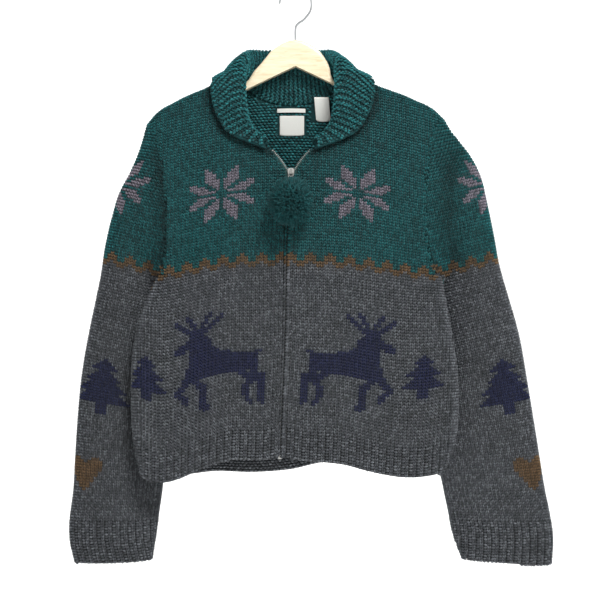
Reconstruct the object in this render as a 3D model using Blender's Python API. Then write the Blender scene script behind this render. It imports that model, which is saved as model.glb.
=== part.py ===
"""Zip cardigan of thick wool with a shawl collar, hanging on a wooden hanger.

The garment faces -Y and +Z is up. The origin is the inside top of the hook, where a rail carries it.
Sizes and tables are in millimetres; the solids are made in metres. "Right" and "left" are the wearer's,
so the right side is at -X. Each cloth piece is one knitted wall, and neighbours are a seam gap apart.
"""

import math

import bmesh
import bpy
import numpy as np

MM = 0.001

# Cloth
KNIT = 5.0  # thickness of the knitted wall
COLLAR_KNIT = 6.0
SEAM_GAP = 0.5
RIB_PITCH = 11.4  # one knit and one purl stitch
RIB_HEIGHT = 1.3
GARTER_PITCH = 8.6  # one ridge of the collar's garter knitting
GARTER_HEIGHT = 1.5

# Body
CENTRE_X = -6.5  # middle of the neck, a little off the hook
NECK_HALF = 76.0
NECK_POINT_Z = -126.0
TOP_ROUND = 12.5  # the cloth bends over the hanger's arm
DEPTH_GROWS_OVER = 200.0  # the body opens out to its full depth this far below the shoulder
FRONT_DEPTH = 45.0
BACK_DEPTH = 30.0
SIDE_ROUND = 12.0  # rounding of the side edge, seen from above
SIDE_HALF_DEPTH = 11.0
SIDE_BLEND = 115.0
V_CORNER_Z = -240.0
V_CORNER_HALF = 35.5
# Rows of the grid up the armhole, as degrees round the sleeve from its outer edge.
ARM_ROWS = (165, 150, 135, 120, 105, 90, 75, 60, 45, 30, 15, 7.5, 0)
LOWER_ROWS = (0.0, 0.17, 0.34, 0.51, 0.68, 0.83, 0.92, 1.0)  # shares of the height from hem to underarm
OPENING_ROWS = (-402, -352, -308, -281, -259)  # rows up the zip, from the underarm to the V's corner
NECK_STEPS = (0.0, 0.17, 0.34, 0.5, 0.66, 0.83, 0.96, 1.0)  # along the front neckline, corner to neck point
BACK_STEPS = (0.0, 0.2, 0.4, 0.6, 0.8)  # columns under the back neckline
SHOULDER_STEPS = (0.0, 0.13, 0.26, 0.39, 0.51, 0.63, 0.74, 0.84, 0.915, 0.965, 1.0)

# Hanger
WOOD = 10.2
WOOD_EDGE = 5.0
WOOD_BELOW_CLOTH = 2.2
HANGER_REACH = 198.0
HOOK_WIRE = 1.6
HOOK_RADIUS = 24.0

# Zip
SLIDER_Z = -279.0
SLIDER_WIDTH, SLIDER_HEIGHT = 10.0, 13.0
SLIDER_PLATE = 1.3
TAPE_GAP = 0.5  # from the knitted wall to the tape sewn behind it
TAPE_HALF = 0.5
TEETH_HALF = 1.25  # half thickness of the line of teeth
TEETH_WIDTH = 2.2
RUNNING_GAP = 0.35  # between the teeth and the slider's plates
BRIDGE_HALF = 4.0
BRIDGE_REACH = 5.0
BRIDGE_BAR = 1.3
BRIDGE_WIDTH = 3.0
PIVOT_OUT = 1.9  # from the slider's front plate to the pull's hinge line
PIVOT_DOWN = 1.7  # and below the slider's middle, where the ring rests on the bridge's foot
PULL_WIRE = 0.8
PULL_RING = (7.4, 10.5)
PULL_LEAN = 31.0  # degrees: the pull leans out towards the pompom
POMPOM_RADIUS = 28.0
POMPOM_TALL = 1.13
POMPOM_CORE = 15.0
POMPOM_DROP = 43.0  # from the pull's pivot down to the pompom's middle
POMPOM_OUT = 26.0  # and forward


class Table:
    """Rows of sizes with named columns. The first column is the key, in rising order."""

    def __init__(self, names, *rows):
        self.names = names.split()
        self.rows = np.array(rows, float)
        self.keys = self.rows[:, 0]
        self.slopes = np.gradient(self.rows, self.keys, axis=0)

    def at(self, key, name):
        """A column's value at a key, on a smooth curve through the rows."""
        column = self.names.index(name)
        key = min(max(key, self.keys[0]), self.keys[-1])
        i = min(np.searchsorted(self.keys, key, side="right") - 1, len(self.keys) - 2)
        step = self.keys[i + 1] - self.keys[i]
        t = (key - self.keys[i]) / step
        a, b = self.rows[i : i + 2, column]
        m, n = self.slopes[i : i + 2, column] * step
        return (
            (2 * t**3 - 3 * t**2 + 1) * a
            + (t**3 - 2 * t**2 + t) * m
            + (3 * t**2 - 2 * t**3) * b
            + (t**3 - t**2) * n
        )


# Side seams from hem to underarm: how far each side reaches, and how far forward it lies.
SIDE = Table(
    "height right left depth",
    (-722, -224.0, 214.0, -22),
    (-695, -231.0, 226.0, -24),
    (-665, -235.0, 232.0, -26),
    (-615, -237.5, 236.0, -27),
    (-565, -236.7, 233.0, -27),
    (-520, -231.5, 227.0, -25),
    (-480, -221.0, 220.5, -23),
    (-455, -211.5, 217.5, -13),
    (-432, -204.0, 215.5, -2),
)
FRONT_HEM = Table(
    "x height",
    (-226, -722),
    (-200, -732),
    (-172, -727),
    (-137, -711),
    (-97, -698),
    (-45, -697),
    (-24, -693),
    (14, -699),
    (66, -703),
    (106, -714),
    (150, -723),
    (190, -723),
    (215, -718),
)
BACK_HEM = Table(
    "x height",
    (-226, -722),
    (-180, -728),
    (-125, -727),
    (-60, -728),
    (-28, -726),
    (0, -722),
    (20, -717),
    (66, -711),
    (110, -716),
    (160, -721),
    (215, -718),
)
SHOULDER = Table(
    "share drop", (0, 0), (0.4, 0.355), (0.6, 0.5), (0.75, 0.64), (0.88, 0.77), (1, 1)
)
# Necklines, from the middle of each face out to the neck point.
FRONT_NECK = Table(
    "share reach height",
    (0, V_CORNER_HALF, V_CORNER_Z),
    (0.25, 58, -224),
    (0.5, 75, -198),
    (0.75, 81, -161),
    (1, NECK_HALF, NECK_POINT_Z),
)
BACK_NECK = Table(
    "share reach height",
    (0, 0, -172),
    (0.25, 22, -170),
    (0.5, 45, -163),
    (0.75, 65, -150),
    (1, NECK_HALF, NECK_POINT_Z),
)
# The zip: its line, how far the open top spreads, and from the teeth to the knitted edge.
ZIP = Table(
    "height x spread gap",
    (-700, -23.0, 0, 2.6),
    (-626, -20.2, 0, 2.8),
    (-517, -15.7, 0, 3.4),
    (-370, -12.2, 0, 4.5),
    (-300, -8.0, 0, 6.0),
    (-284, -7.0, 0, 7.0),
    (-270, -6.5, 7, 6.5),
    (-255, -6.5, 17, 5.5),
    (V_CORNER_Z, CENTRE_X, 31, 4.5),
)
# Large soft folds of the body: where each one starts and ends, and how wide and high it is.
FOLDS = (  # face, x0, z0, x1, z1, width, height
    (-1, 128, -725, 150, -560, 26, -4.0),
    (-1, 188, -640, 196, -420, 22, 3.5),
    (-1, -176, -300, -186, -470, 20, 3.5),
    (-1, -110, -740, -96, -610, 24, 3.0),
    (-1, 62, -735, 48, -600, 26, 3.0),
    (1, -120, -735, -90, -560, 28, 4.0),
    (1, 96, -735, 70, -540, 30, 4.0),
    (1, 8, -730, 0, -600, 26, -3.5),
)
# Sleeves, ring by ring from armhole to cuff: outer edge, inner edge and half depth.
SLEEVE_NAMES = "ring outer_x outer_y outer_z inner_x inner_y inner_z half"
RIGHT_SLEEVE = Table(
    SLEEVE_NAMES,
    (0, -218.5, 0, -205, -204, -2, -432, 28),
    (1, -223, 0, -222, -211, 4, -431, 28),
    (2, -231, 0, -248, -215, 12, -434, 28),
    (3, -244, 0, -278, -216, 20, -438, 28),
    (4, -259, 0, -306, -214, 28, -446, 28),
    (5, -269.5, 0, -340, -211, 31, -457, 28),
    (6, -280, 0, -384, -207, 33, -474, 28),
    (7, -287, 1, -430, -203, 34, -496, 27),
    (8, -296, 2, -472, -200, 34, -522, 25),
    (9, -308, 3, -530, -198, 33, -560, 23),
    (10, -316.6, 4, -582, -199, 32, -602, 21),
    (11, -322, 4, -640, -201, 30, -652, 20),
    (12, -326, 4, -702, -204, 27, -706, 20),
    (13, -329, 4, -754, -208, 23, -752, 20),
    (14, -334, 3, -796, -213, 18, -792, 19),
    (15, -333, 2, -826, -217, 15, -824, 18),
    (16, -326, 2, -857, -222, 13, -856, 17),
)
LEFT_SLEEVE = Table(
    SLEEVE_NAMES,
    (0, 220, 0, -199, 215.5, -2, -432, 28),
    (1, 229, 0, -214.5, 223, 4, -431, 28),
    (2, 243.5, 0, -233, 226, 12, -434, 28),
    (3, 259.5, 0, -255, 227, 20, -438, 28),
    (4, 273, 0, -283, 227, 28, -446, 28),
    (5, 282, 0, -320, 225, 31, -457, 28),
    (6, 292, 0, -367, 222, 33, -474, 28),
    (7, 300.5, 1, -412, 219, 34, -496, 27),
    (8, 315, 2, -463, 217, 34, -522, 25),
    (9, 330, 3, -515, 216, 33, -556, 23),
    (10, 341.5, 4, -577, 216, 32, -600, 21),
    (11, 350.5, 4, -632, 217, 30, -650, 20),
    (12, 359.5, 4, -688, 221, 27, -702, 20),
    (13, 369.5, 4, -750, 230, 23, -750, 20),
    (14, 377, 3, -788, 237, 18, -786, 19),
    (15, 381, 2, -823, 244, 15, -821, 18),
    (16, 379, 2, -861, 256, 13, -853, 17),
)
# The collar from the middle of the back to its front end: crest of the fold, outer edge, fold radius.
COLLAR = Table(
    "share fold_x fold_y fold_z edge_x edge_y edge_z radius",
    (0.00, 0, 21, -90.5, 0, 36, -178, 8.0),
    (0.20, 41, 19, -89.5, 60, 34, -175, 8.0),
    (0.38, 66, 12, -92, 100, 27, -159, 8.0),
    (0.48, 72, -1, -102, 115, -4, -149, 8.0),
    (0.62, 74, -20, -132, 118, -20, -164, 8.0),
    (0.76, 71, -33, -175, 109, -26, -194, 7.0),
    (0.90, 62, -40, -211, 84, -35, -225, 6.0),
    (1.00, 39, -41, -233, 34, -40, -246, 4.5),
)
COLLAR_CLEARS = 12.0  # from the middle of the collar's fall to the inside of the body's wall
COLLAR_ROWS = 11
COLLAR_TURN = 4.0  # the collar leaves its seam in the plane of the cloth before it turns up
# The hanger's outline from its middle out: top and bottom edges of the wood.
HANGER_HEAD = Table(
    "x top",
    (-76, -140.5),
    (-70, -134.5),
    (-67, -129.5),
    (-62, -121.5),
    (-54, -113),
    (-44, -101),
    (-37, -92),
    (-30, -87),
    (-20, -80.5),
    (-10, -76.5),
    (0, -75),
    (10, -76.5),
    (20, -80.5),
    (30, -87),
    (37, -92.5),
    (44, -102),
    (48.5, -110),
    (51.5, -118),
    (53, -127),
    (57, -136),
    (63, -140.5),
)


class Side:
    """One side of the garment: its sign along X, and the points that its pieces share."""

    def __init__(self, name, sign, sleeve, armhole_dip):
        self.name, self.sign, self.sleeve = name, sign, sleeve
        self.armhole_dip = armhole_dip  # how far the armhole curves in towards the neck
        self.tip_x, self.tip_z = sleeve.at(0, "outer_x"), sleeve.at(0, "outer_z")
        self.underarm_z = sleeve.at(0, "inner_z")


RIGHT = Side("right", -1, RIGHT_SLEEVE, 22.0)
LEFT = Side("left", 1, LEFT_SLEEVE, 29.0)
FRONT, BACK = -1, 1  # the way that each face looks along Y


def ease(t):
    """0 to 1 with a soft start and end."""
    t = np.clip(t, 0.0, 1.0)
    return t * t * (3 - 2 * t)


def mix(a, b, t):
    return a + (b - a) * t


def unit(v):
    length = np.linalg.norm(v, axis=-1, keepdims=True)
    return v / np.maximum(length, 1e-9)


def sleeve_point(side, angle, ring):
    """A point inside a sleeve's wall. Angle 0 is the outer edge, pi the inner edge, and the front is between."""
    outer, inner = (
        np.array([side.sleeve.at(ring, f"{edge}_{axis}") for axis in "xyz"])
        for edge in ("outer", "inner")
    )
    along = (outer - inner) / 2
    forward = np.array([0.0, -1.0, 0.0])
    forward = unit(forward - unit(along) * (forward @ unit(along)))
    swell = math.copysign(abs(math.sin(angle)) ** 0.75, math.sin(angle))
    point = (outer + inner) / 2 + along * math.cos(angle)
    point = point + forward * side.sleeve.at(ring, "half") * swell
    dip = side.armhole_dip * float(1 - ease(ring / 3.5))
    point[0] -= side.sign * dip * abs(math.sin(angle))
    return point


def shoulder_height(side, x):
    """Underside of the cloth over the hanger. Over the neck it stays level."""
    reach = abs(x - CENTRE_X) - NECK_HALF
    share = max(reach / (abs(side.tip_x - CENTRE_X) - NECK_HALF), 0)
    return mix(NECK_POINT_Z, side.tip_z, SHOULDER.at(share, "drop"))


def fold_height(face, x, z):
    """Height of the soft folds at a point of the front or back."""
    total = 0.0
    for looks, x0, z0, x1, z1, width, height in FOLDS:
        if looks != face:
            continue
        line_x, line_z = x1 - x0, z1 - z0
        share = ((x - x0) * line_x + (z - z0) * line_z) / (line_x**2 + line_z**2)
        share = min(max(share, 0.0), 1.0)
        away = math.hypot(x - x0 - line_x * share, z - z0 - line_z * share)
        from_hem = z0 < -700
        fade = math.cos(share * math.pi / 2) if from_hem else math.sin(share * math.pi)
        total += height * fade * math.exp(-((away / width) ** 2))
    return total


def cloth_y(side, face, x, z, edge_x, edge_y, edge_depth):
    """Depth of the inside of the body's wall at a point, from the piece's side edge at that height."""
    below = max(shoulder_height(side, x) - z, 0.0)
    over = TOP_ROUND * math.sqrt(1 - (1 - min(below / TOP_ROUND, 1)) ** 2)
    full = FRONT_DEPTH if face == FRONT else BACK_DEPTH
    full = over + (full - TOP_ROUND) * float(ease(below / DEPTH_GROWS_OVER))
    full += fold_height(face, x, z) * float(ease(below / 60))
    from_edge = abs(edge_x - x)
    rounding = math.sqrt(1 - (1 - min(from_edge / SIDE_ROUND, 1)) ** 2)
    underarm = float(1 - ease((side.underarm_z - z) / 90))
    side_half = SIDE_HALF_DEPTH + (4.0 if face == FRONT else -4.0) * underarm
    side_half = min(side_half * max(1 - edge_depth / 28, 0.0), full)
    share = (side_half * rounding + (full - side_half) * float(ease(from_edge / SIDE_BLEND))) / max(full, 1e-6)
    middle_y = edge_y * float(1 - ease(from_edge / SIDE_BLEND))
    return middle_y + face * (edge_depth + (full - edge_depth) * share)


def zip_edge_x(side, z):
    """The knitted front edge beside the zip."""
    spread = max(ZIP.at(z, "spread"), 0.0)
    return ZIP.at(z, "x") + side.sign * (spread + ZIP.at(z, "gap"))


def side_edge(side, face):
    """The side seam and armhole of one face as points, from hem to shoulder tip."""
    hem_z = FRONT_HEM.at(SIDE.at(SIDE.keys[0], side.name), "height")
    points = []
    for share in LOWER_ROWS:
        z = mix(hem_z, side.underarm_z, share)
        points.append([SIDE.at(z, side.name), SIDE.at(z, "depth"), z])
    for turn in ARM_ROWS:
        points.append(list(sleeve_point(side, -math.radians(turn) * face, 0)))
    return np.array(points)


def middle_edge(side, face):
    """X and Z of the edge opposite the side seam: the zip and front neckline, or the back's middle."""
    if face == BACK:
        bottom, top = BACK_HEM.at(CENTRE_X, "height"), BACK_NECK.at(0, "height")
        last = len(ARM_ROWS) - 2
        upper = [mix(-440, top, step / last) for step in range(1, last)] + [top - 5, top]
        upper.insert(-2, mix(upper[-3], top, 0.55))
        heights = [mix(bottom, -440, share) for share in LOWER_ROWS] + upper
        return np.array([[CENTRE_X, z] for z in heights])
    bottom = FRONT_HEM.at(-24, "height")
    heights = [mix(bottom, -440, share) for share in LOWER_ROWS] + list(OPENING_ROWS)
    rows = [[zip_edge_x(side, z), z] for z in heights]
    for share in NECK_STEPS:
        reach = FRONT_NECK.at(share, "reach")
        rows.append([CENTRE_X + side.sign * reach, FRONT_NECK.at(share, "height")])
    return np.array(rows)


def face_grid(side, face):
    """Inside points of half the front or back: rows from hem to shoulder, columns from middle to side."""
    edge, middle = side_edge(side, face), middle_edge(side, face)
    hem = FRONT_HEM if face == FRONT else BACK_HEM
    climb_side = (edge[:, 2] - edge[0, 2]) / (edge[-1, 2] - edge[0, 2])
    climb_middle = (middle[:, 1] - middle[0, 1]) / (middle[-1, 1] - middle[0, 1])
    neck_x = CENTRE_X + side.sign * NECK_HALF
    neck_column = mix(mix(CENTRE_X, edge[0, 0], 0.34), neck_x, climb_middle)
    columns = [(1, share) for share in SHOULDER_STEPS]
    if face == BACK:
        columns = [(0, share) for share in BACK_STEPS] + columns
    grid = np.zeros((len(edge), len(columns), 3))
    for j, (part, share) in enumerate(columns):
        if part == 0:
            xs = mix(CENTRE_X, neck_column, share)
            bow = BACK_NECK.at(share, "reach") - NECK_HALF * share
            xs = xs + side.sign * bow * climb_middle**4
            across, top_z = share * 0.34, BACK_NECK.at(share, "height")
        else:
            start = neck_column if face == BACK else middle[:, 0]
            xs = mix(start, edge[:, 0], share)
            across = mix(0.34, 1, share) if face == BACK else share
            top_z = shoulder_height(side, xs[-1])
        climb = mix(climb_middle, climb_side, across)
        zs = mix(hem.at(xs[0], "height"), top_z, climb)
        if j == 0:
            zs = middle[:, 1]
        for i, (x, z) in enumerate(zip(xs, zs)):
            in_armhole = i >= len(LOWER_ROWS)
            edge_depth = abs(edge[i, 1]) if in_armhole else 0.0
            edge_y = 0.0 if in_armhole else edge[i, 1]
            grid[i, j] = x, cloth_y(side, face, x, z, edge[i, 0], edge_y, edge_depth), z
        if share == 1.0:
            grid[:, j] = edge
    return grid


def sleeve_grid(side):
    """Inside points of a sleeve: rows from armhole to cuff, closed round."""
    front = [math.radians(turn) for turn in ARM_ROWS[::-1]] + [math.pi]
    angles = front + [2 * math.pi - angle for angle in front[-2::-1]]
    rings = [float(ring) for ring in range(len(side.sleeve.keys))]
    return np.array([[sleeve_point(side, angle, ring) for angle in angles] for ring in rings])


def key_of(point):
    return tuple(int(round(v * 100)) for v in point)


def shared_normals(grids):
    """Outward normals at every grid point, averaged over all the pieces that meet there."""
    sums = {}
    for grid, flip in grids:
        a, b = grid[:-1, :-1], grid[1:, 1:]
        c, d = grid[:-1, 1:], grid[1:, :-1]
        faces = np.cross(d - c, b - a) * flip
        for i, j in np.ndindex(faces.shape[:2]):
            for di, dj in ((0, 0), (1, 0), (0, 1), (1, 1)):
                key = key_of(grid[i + di, j + dj])
                sums[key] = sums.get(key, np.zeros(3)) + unit(faces[i, j])
    return sums


def outward(grid, sums, thickness):
    """The wall's outer points, and the normals there."""
    normals = np.array([[unit(sums[key_of(p)]) for p in row] for row in grid])
    return grid + normals * thickness, normals


def edge_shift(grid, line, neighbour):
    """How far the points of one edge draw back from its seam, along the cloth and square to the seam."""
    own = shared_normals([(grid, 1)])
    normals = unit(np.array([own[key_of(point)] for point in grid[line]]))
    back = unit(np.cross(normals, np.gradient(grid[line], axis=0)))
    if (back * (grid[neighbour] - grid[line])).sum() < 0:
        back = -back
    return back * SEAM_GAP / 2


def seam_shift(grid, closed):
    """The shift of every point of a piece: its edges draw back from their seams."""
    shift = np.zeros_like(grid)
    for line, neighbour in ((0, 1), (-1, -2)):
        shift[line] += edge_shift(grid, line, neighbour)
        if not closed:
            column, beside = (slice(None), line), (slice(None), neighbour)
            shift[column] += edge_shift(grid, column, beside)
    return shift


def fine_row(row, next_row, normals, share, count, height, closed):
    """A row of raised ribs between two grid rows, with its points' places along the row."""
    length = np.concatenate([[0], np.cumsum(np.linalg.norm(np.diff(row, axis=0), axis=1))])
    places = np.interp(np.linspace(0, length[-1], count * 2 + 1), length, np.arange(len(row)))
    low = np.minimum(places.astype(int), len(row) - 2)
    part = (places - low)[:, None]
    between = mix(row, next_row, share)
    points = mix(between[low], between[low + 1], part)
    out = unit(mix(normals[low], normals[low + 1], part))
    ribs = np.arange(count * 2 + 1) % 2
    if closed:
        places = places[:-1]
        return (points + out * (ribs * height)[:, None])[:-1], places
    return points + out * (ribs * height)[:, None], places


class Wall:
    """Collects the rows of a cloth wall, outer and inner, and joins them into one closed solid."""

    def __init__(self, closed):
        self.mesh = bmesh.new()
        self.closed = closed
        self.outer, self.inner = [], []

    def row(self, points, places=None):
        verts = [self.mesh.verts.new([float(v) * MM for v in p]) for p in points]
        places = list(range(len(verts))) if places is None else list(places)
        return verts, places

    def join(self, first, second, period=None):
        """Fills between two rows, with quads where their places agree and triangles elsewhere."""
        (a, at_a), (b, at_b) = first, second
        if period:
            a, at_a = a + a[:1], at_a + [period]
            b, at_b = b + b[:1], at_b + [period]
        i = j = 0
        while i < len(a) - 1 or j < len(b) - 1:
            next_a = at_a[i + 1] if i < len(a) - 1 else math.inf
            next_b = at_b[j + 1] if j < len(b) - 1 else math.inf
            if abs(next_a - next_b) < 1e-6:
                # Neighbours across a seam must split their edge the same way: along the shorter diagonal.
                down = (a[i].co - b[j + 1].co).length < (a[i + 1].co - b[j].co).length
                ends = (a[i], b[j + 1]) if down else (a[i + 1], b[j])
                self.mesh.faces.new((a[i], a[i + 1], ends[1]))
                self.mesh.faces.new((ends[0], b[j + 1], b[j]))
                i, j = i + 1, j + 1
            elif next_a < next_b:
                self.mesh.faces.new((a[i], a[i + 1], b[j]))
                i += 1
            else:
                self.mesh.faces.new((a[i], b[j + 1], b[j]))
                j += 1

    def finish(self, name, material, period=None):
        for rows in (self.outer, self.inner):
            for first, second in zip(rows, rows[1:]):
                self.join(first, second, period)
        self.join(self.outer[0], self.inner[0], period)
        self.join(self.outer[-1], self.inner[-1], period)
        if not self.closed:
            for end in (0, -1):
                self.join(*[
                    ([verts[end] for verts, _ in rows], list(range(len(rows))))
                    for rows in (self.outer, self.inner)
                ])
        return add_object(name, self.mesh, material)


def add_object(name, mesh, material):
    """Closes a bmesh into a named object with its faces pointing out."""
    bmesh.ops.recalc_face_normals(mesh, faces=mesh.faces[:])
    data = bpy.data.meshes.new(name)
    mesh.to_mesh(data)
    mesh.free()
    data.materials.append(material)
    data.shade_smooth()
    obj = bpy.data.objects.new(name, data)
    bpy.context.scene.collection.objects.link(obj)
    return obj


def knitted_piece(name, grid, sums, material, closed=False, rib_row=None, cuff=False):
    """One knitted piece as a closed wall, with raised ribs in its hem or cuff."""
    outer, normals = outward(grid, sums, KNIT)
    shift = seam_shift(grid, closed)
    outer, inner = outer + shift, grid + shift
    if cuff:
        outer, inner, normals = outer[::-1], inner[::-1], normals[::-1]
    wall = Wall(closed)
    last = -1 if closed else None
    width = np.linalg.norm(np.diff(outer[0], axis=0), axis=1).sum()
    count = max(2, round(width / RIB_PITCH))
    top_share = 0.88
    for share in (0.0, top_share):
        wall.outer.append(
            wall.row(*fine_row(outer[0], outer[rib_row], mix(normals[0], normals[rib_row], share),
                               share, count, RIB_HEIGHT, closed))
        )
    wall.outer += [wall.row(points[:last]) for points in outer[rib_row:]]
    wall.inner.append(wall.row(inner[0][:last]))
    wall.inner.append(wall.row(mix(inner[0], inner[rib_row], top_share)[:last]))
    wall.inner += [wall.row(points[:last]) for points in inner[rib_row:]]
    return wall.finish(name, material, grid.shape[1] - 1 if closed else None)


def neckline(fronts, back, sums):
    """Outer and inner points of the neck edge, from the right front end round to the left, drawn clear of it."""
    n = len(NECK_STEPS)
    column, beside = (slice(None), 0), (slice(None), 1)
    rows = {side: grid[-n:, 0] for side, grid in fronts.items()}
    moved = {side: -edge_shift(grid, column, beside)[-n:] for side, grid in fronts.items()}
    middle, reach = back.shape[1] // 2, len(BACK_STEPS)
    seam = slice(middle - reach + 1, middle + reach)
    edge = [*rows[RIGHT], *back[-1][seam], *rows[LEFT][::-1]]
    away = [*moved[RIGHT], *-edge_shift(back, -1, -2)[seam], *moved[LEFT][::-1]]
    edge, away = np.array(edge), 2.8 * np.array(away)
    outer = np.array([p + unit(sums[key_of(p)]) * KNIT for p in edge])
    return outer + away, edge + away, unit(away)


def clear_of_body(point, gap):
    """Moves a point that lies in the body or too near it straight out from the cloth."""
    x, y, z = point
    side = RIGHT if x < CENTRE_X else LEFT
    top = shoulder_height(side, x)
    if top - z < TOP_ROUND:
        middle = np.array([0.0, top - TOP_ROUND])
        away = np.array([y, z]) - middle
        reach = max(np.linalg.norm(away), 1e-6)
        if reach < TOP_ROUND + gap:
            y, z = middle + away * (TOP_ROUND + gap) / reach
    else:
        face = FRONT if y < 0 else BACK
        y = face * max(abs(y), abs(wall_y(x, z, face)) + gap)
    return np.array([x, y, z])


def collar_middle(side_sign, share, seam, away, rows):
    """Middle line of the collar's section at a station: up the stand, over the fold and down the fall."""
    wide, narrow = (1.1, 0.955) if side_sign > 0 else (1.0, 1.0)
    fold = np.array([COLLAR.at(share, f"fold_{axis}") for axis in "xyz"])
    edge = np.array([COLLAR.at(share, f"edge_{axis}") for axis in "xyz"])
    fold[0] *= narrow
    edge[0] = fold[0] + (edge[0] - fold[0]) * wide
    for point in (fold, edge):
        point[0] = CENTRE_X + side_sign * point[0]
    radius = COLLAR.at(share, "radius")
    turn = seam + away * COLLAR_TURN
    crest = unit(unit(fold - turn) + unit(fold - edge))
    across = unit((edge - fold) - crest * ((edge - fold) @ crest))
    inner_shoulder = fold - (across + 0.85 * crest) * radius
    outer_shoulder = fold + (across - 0.85 * crest) * radius
    lift = crest * 0.05 * np.linalg.norm(edge - outer_shoulder)
    points = np.array([
        seam,
        turn,
        mix(turn, inner_shoulder, 0.5),
        inner_shoulder,
        fold,
        outer_shoulder,
        mix(outer_shoulder, edge, 0.5) + lift,
        edge,
    ])
    lengths = np.concatenate([[0], np.cumsum(np.linalg.norm(np.diff(points, axis=0), axis=1))])
    curve = Table("at x y z", *np.column_stack([lengths, points]))
    stops = np.concatenate([
        np.linspace(0, lengths[3], 5)[:-1],
        np.linspace(lengths[3], lengths[5], 5)[:-1],
        np.linspace(lengths[5], lengths[7], rows - 8),
    ])
    line = np.array([[curve.at(stop, axis) for axis in "xyz"] for stop in stops])
    for k in range(8, rows):
        line[k] = clear_of_body(line[k], COLLAR_CLEARS)
    return line


def collar_station(outer_edge, inner_edge, away, lengths, at):
    """Seam points of the collar at a distance along the neckline, and the section's middle line there."""
    outer, inner, turned = (
        np.array([np.interp(at, lengths, edge[:, k]) for k in range(3)])
        for edge in (outer_edge, inner_edge, away)
    )
    half = lengths[-1] / 2
    sign = 1 if at > half else -1
    middle = collar_middle(sign, min(abs(at - half) / half, 1.0), (outer + inner) / 2, unit(turned), COLLAR_ROWS)
    return outer, inner, middle


def build_collar(fronts, back, sums, material):
    """The shawl collar: garter ridges run from the neck seam over the fold to the outer edge."""
    outer_edge, inner_edge, away = neckline(fronts, back, sums)
    lengths = np.concatenate([[0], np.cumsum(np.linalg.norm(np.diff(outer_edge, axis=0), axis=1))])
    total = lengths[-1]
    edge_length = 560.0
    ridges = round(edge_length / GARTER_PITCH)
    fine = list(np.linspace(0, total, ridges * 2 + 1))
    coarse = set(lengths) | set((lengths[1:] + lengths[:-1]) / 2)
    for share in (0.39, 0.42, 0.45, 0.48, 0.51, 0.54, 0.58):
        coarse |= {total / 2 * (1 - share), total / 2 * (1 + share)}
    coarse = sorted(coarse)

    def surface(at):
        step = 1.5
        seam = (outer_edge, inner_edge, away, lengths)
        outer, inner, middle = collar_station(*seam, at)
        ahead = collar_station(*seam, min(at + step, total))[2]
        behind = collar_station(*seam, max(at - step, 0))[2]
        normal = unit(np.cross(ahead - behind, np.gradient(middle, axis=0)))
        return outer, inner, middle, normal

    wall = Wall(False)
    for index, at in enumerate(fine):
        _, inner, middle, normal = surface(at)
        ridge = GARTER_HEIGHT if index % 2 else 0.0
        points = middle + normal * (COLLAR_KNIT / 2 + ridge)
        points[0] = inner
        wall.outer.append(wall.row(points))
    for at in coarse:
        outer, _, middle, normal = surface(at)
        points = middle - normal * COLLAR_KNIT / 2
        points[0] = outer
        wall.inner.append(wall.row(points))
    for rows in (wall.outer, wall.inner):
        for first, second in zip(rows, rows[1:]):
            wall.join(first, second)
    for end in (0, -1):
        wall.join(wall.outer[end], wall.inner[end])
        wall.join(
            ([verts[end] for verts, _ in wall.outer], fine),
            ([verts[end] for verts, _ in wall.inner], coarse),
        )
    return add_object("collar", wall.mesh, material)


def loft(name, sections, material, ends=True):
    """A closed solid through rings of equal point counts."""
    mesh = bmesh.new()
    rings = [[mesh.verts.new([float(v) * MM for v in p]) for p in section] for section in sections]
    for first, second in zip(rings, rings[1:]):
        for k in range(len(first)):
            n = (k + 1) % len(first)
            mesh.faces.new((first[k], first[n], second[n], second[k]))
    if ends:
        mesh.faces.new(rings[0])
        mesh.faces.new(rings[-1])
    return add_object(name, mesh, material)


def tube(name, points, radius, material, closed=False, sides=8, square_to=(0.0, 1.0, 0.0)):
    """A round wire through points of a plane, whose normal is given."""
    points = np.array(points, float)
    ahead, behind = np.roll(points, -1, axis=0), np.roll(points, 1, axis=0)
    if not closed:
        ahead[-1], behind[0] = points[-1], points[0]
    along = unit(ahead - behind)
    sections = []
    for point, direction in zip(points, along):
        first = unit(np.cross(direction, square_to))
        second = np.cross(direction, first)
        turn = [2 * math.pi * k / sides for k in range(sides)]
        sections.append([point + radius * (first * math.cos(a) + second * math.sin(a)) for a in turn])
    if closed:
        sections.append(sections[0])
    mesh = bmesh.new()
    rings = [[mesh.verts.new([float(v) * MM for v in p]) for p in s] for s in sections[: len(points)]]
    pairs = list(zip(rings, rings[1:])) + ([(rings[-1], rings[0])] if closed else [])
    for first, second in pairs:
        for k in range(sides):
            n = (k + 1) % sides
            mesh.faces.new((first[k], first[n], second[n], second[k]))
    if not closed:
        mesh.faces.new(rings[0])
        mesh.faces.new(rings[-1])
    return add_object(name, mesh, material)


def wall_y(x, z, face=FRONT):
    """Inside of the body's wall well away from its edges."""
    side = RIGHT if x < CENTRE_X else LEFT
    return cloth_y(side, face, x, z, side.tip_x, 0.0, 0.0)


def tape_y(x, z):
    """Middle of the zip tapes, which are sewn behind the fronts."""
    return wall_y(x, z) + TAPE_GAP + TAPE_HALF


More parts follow.
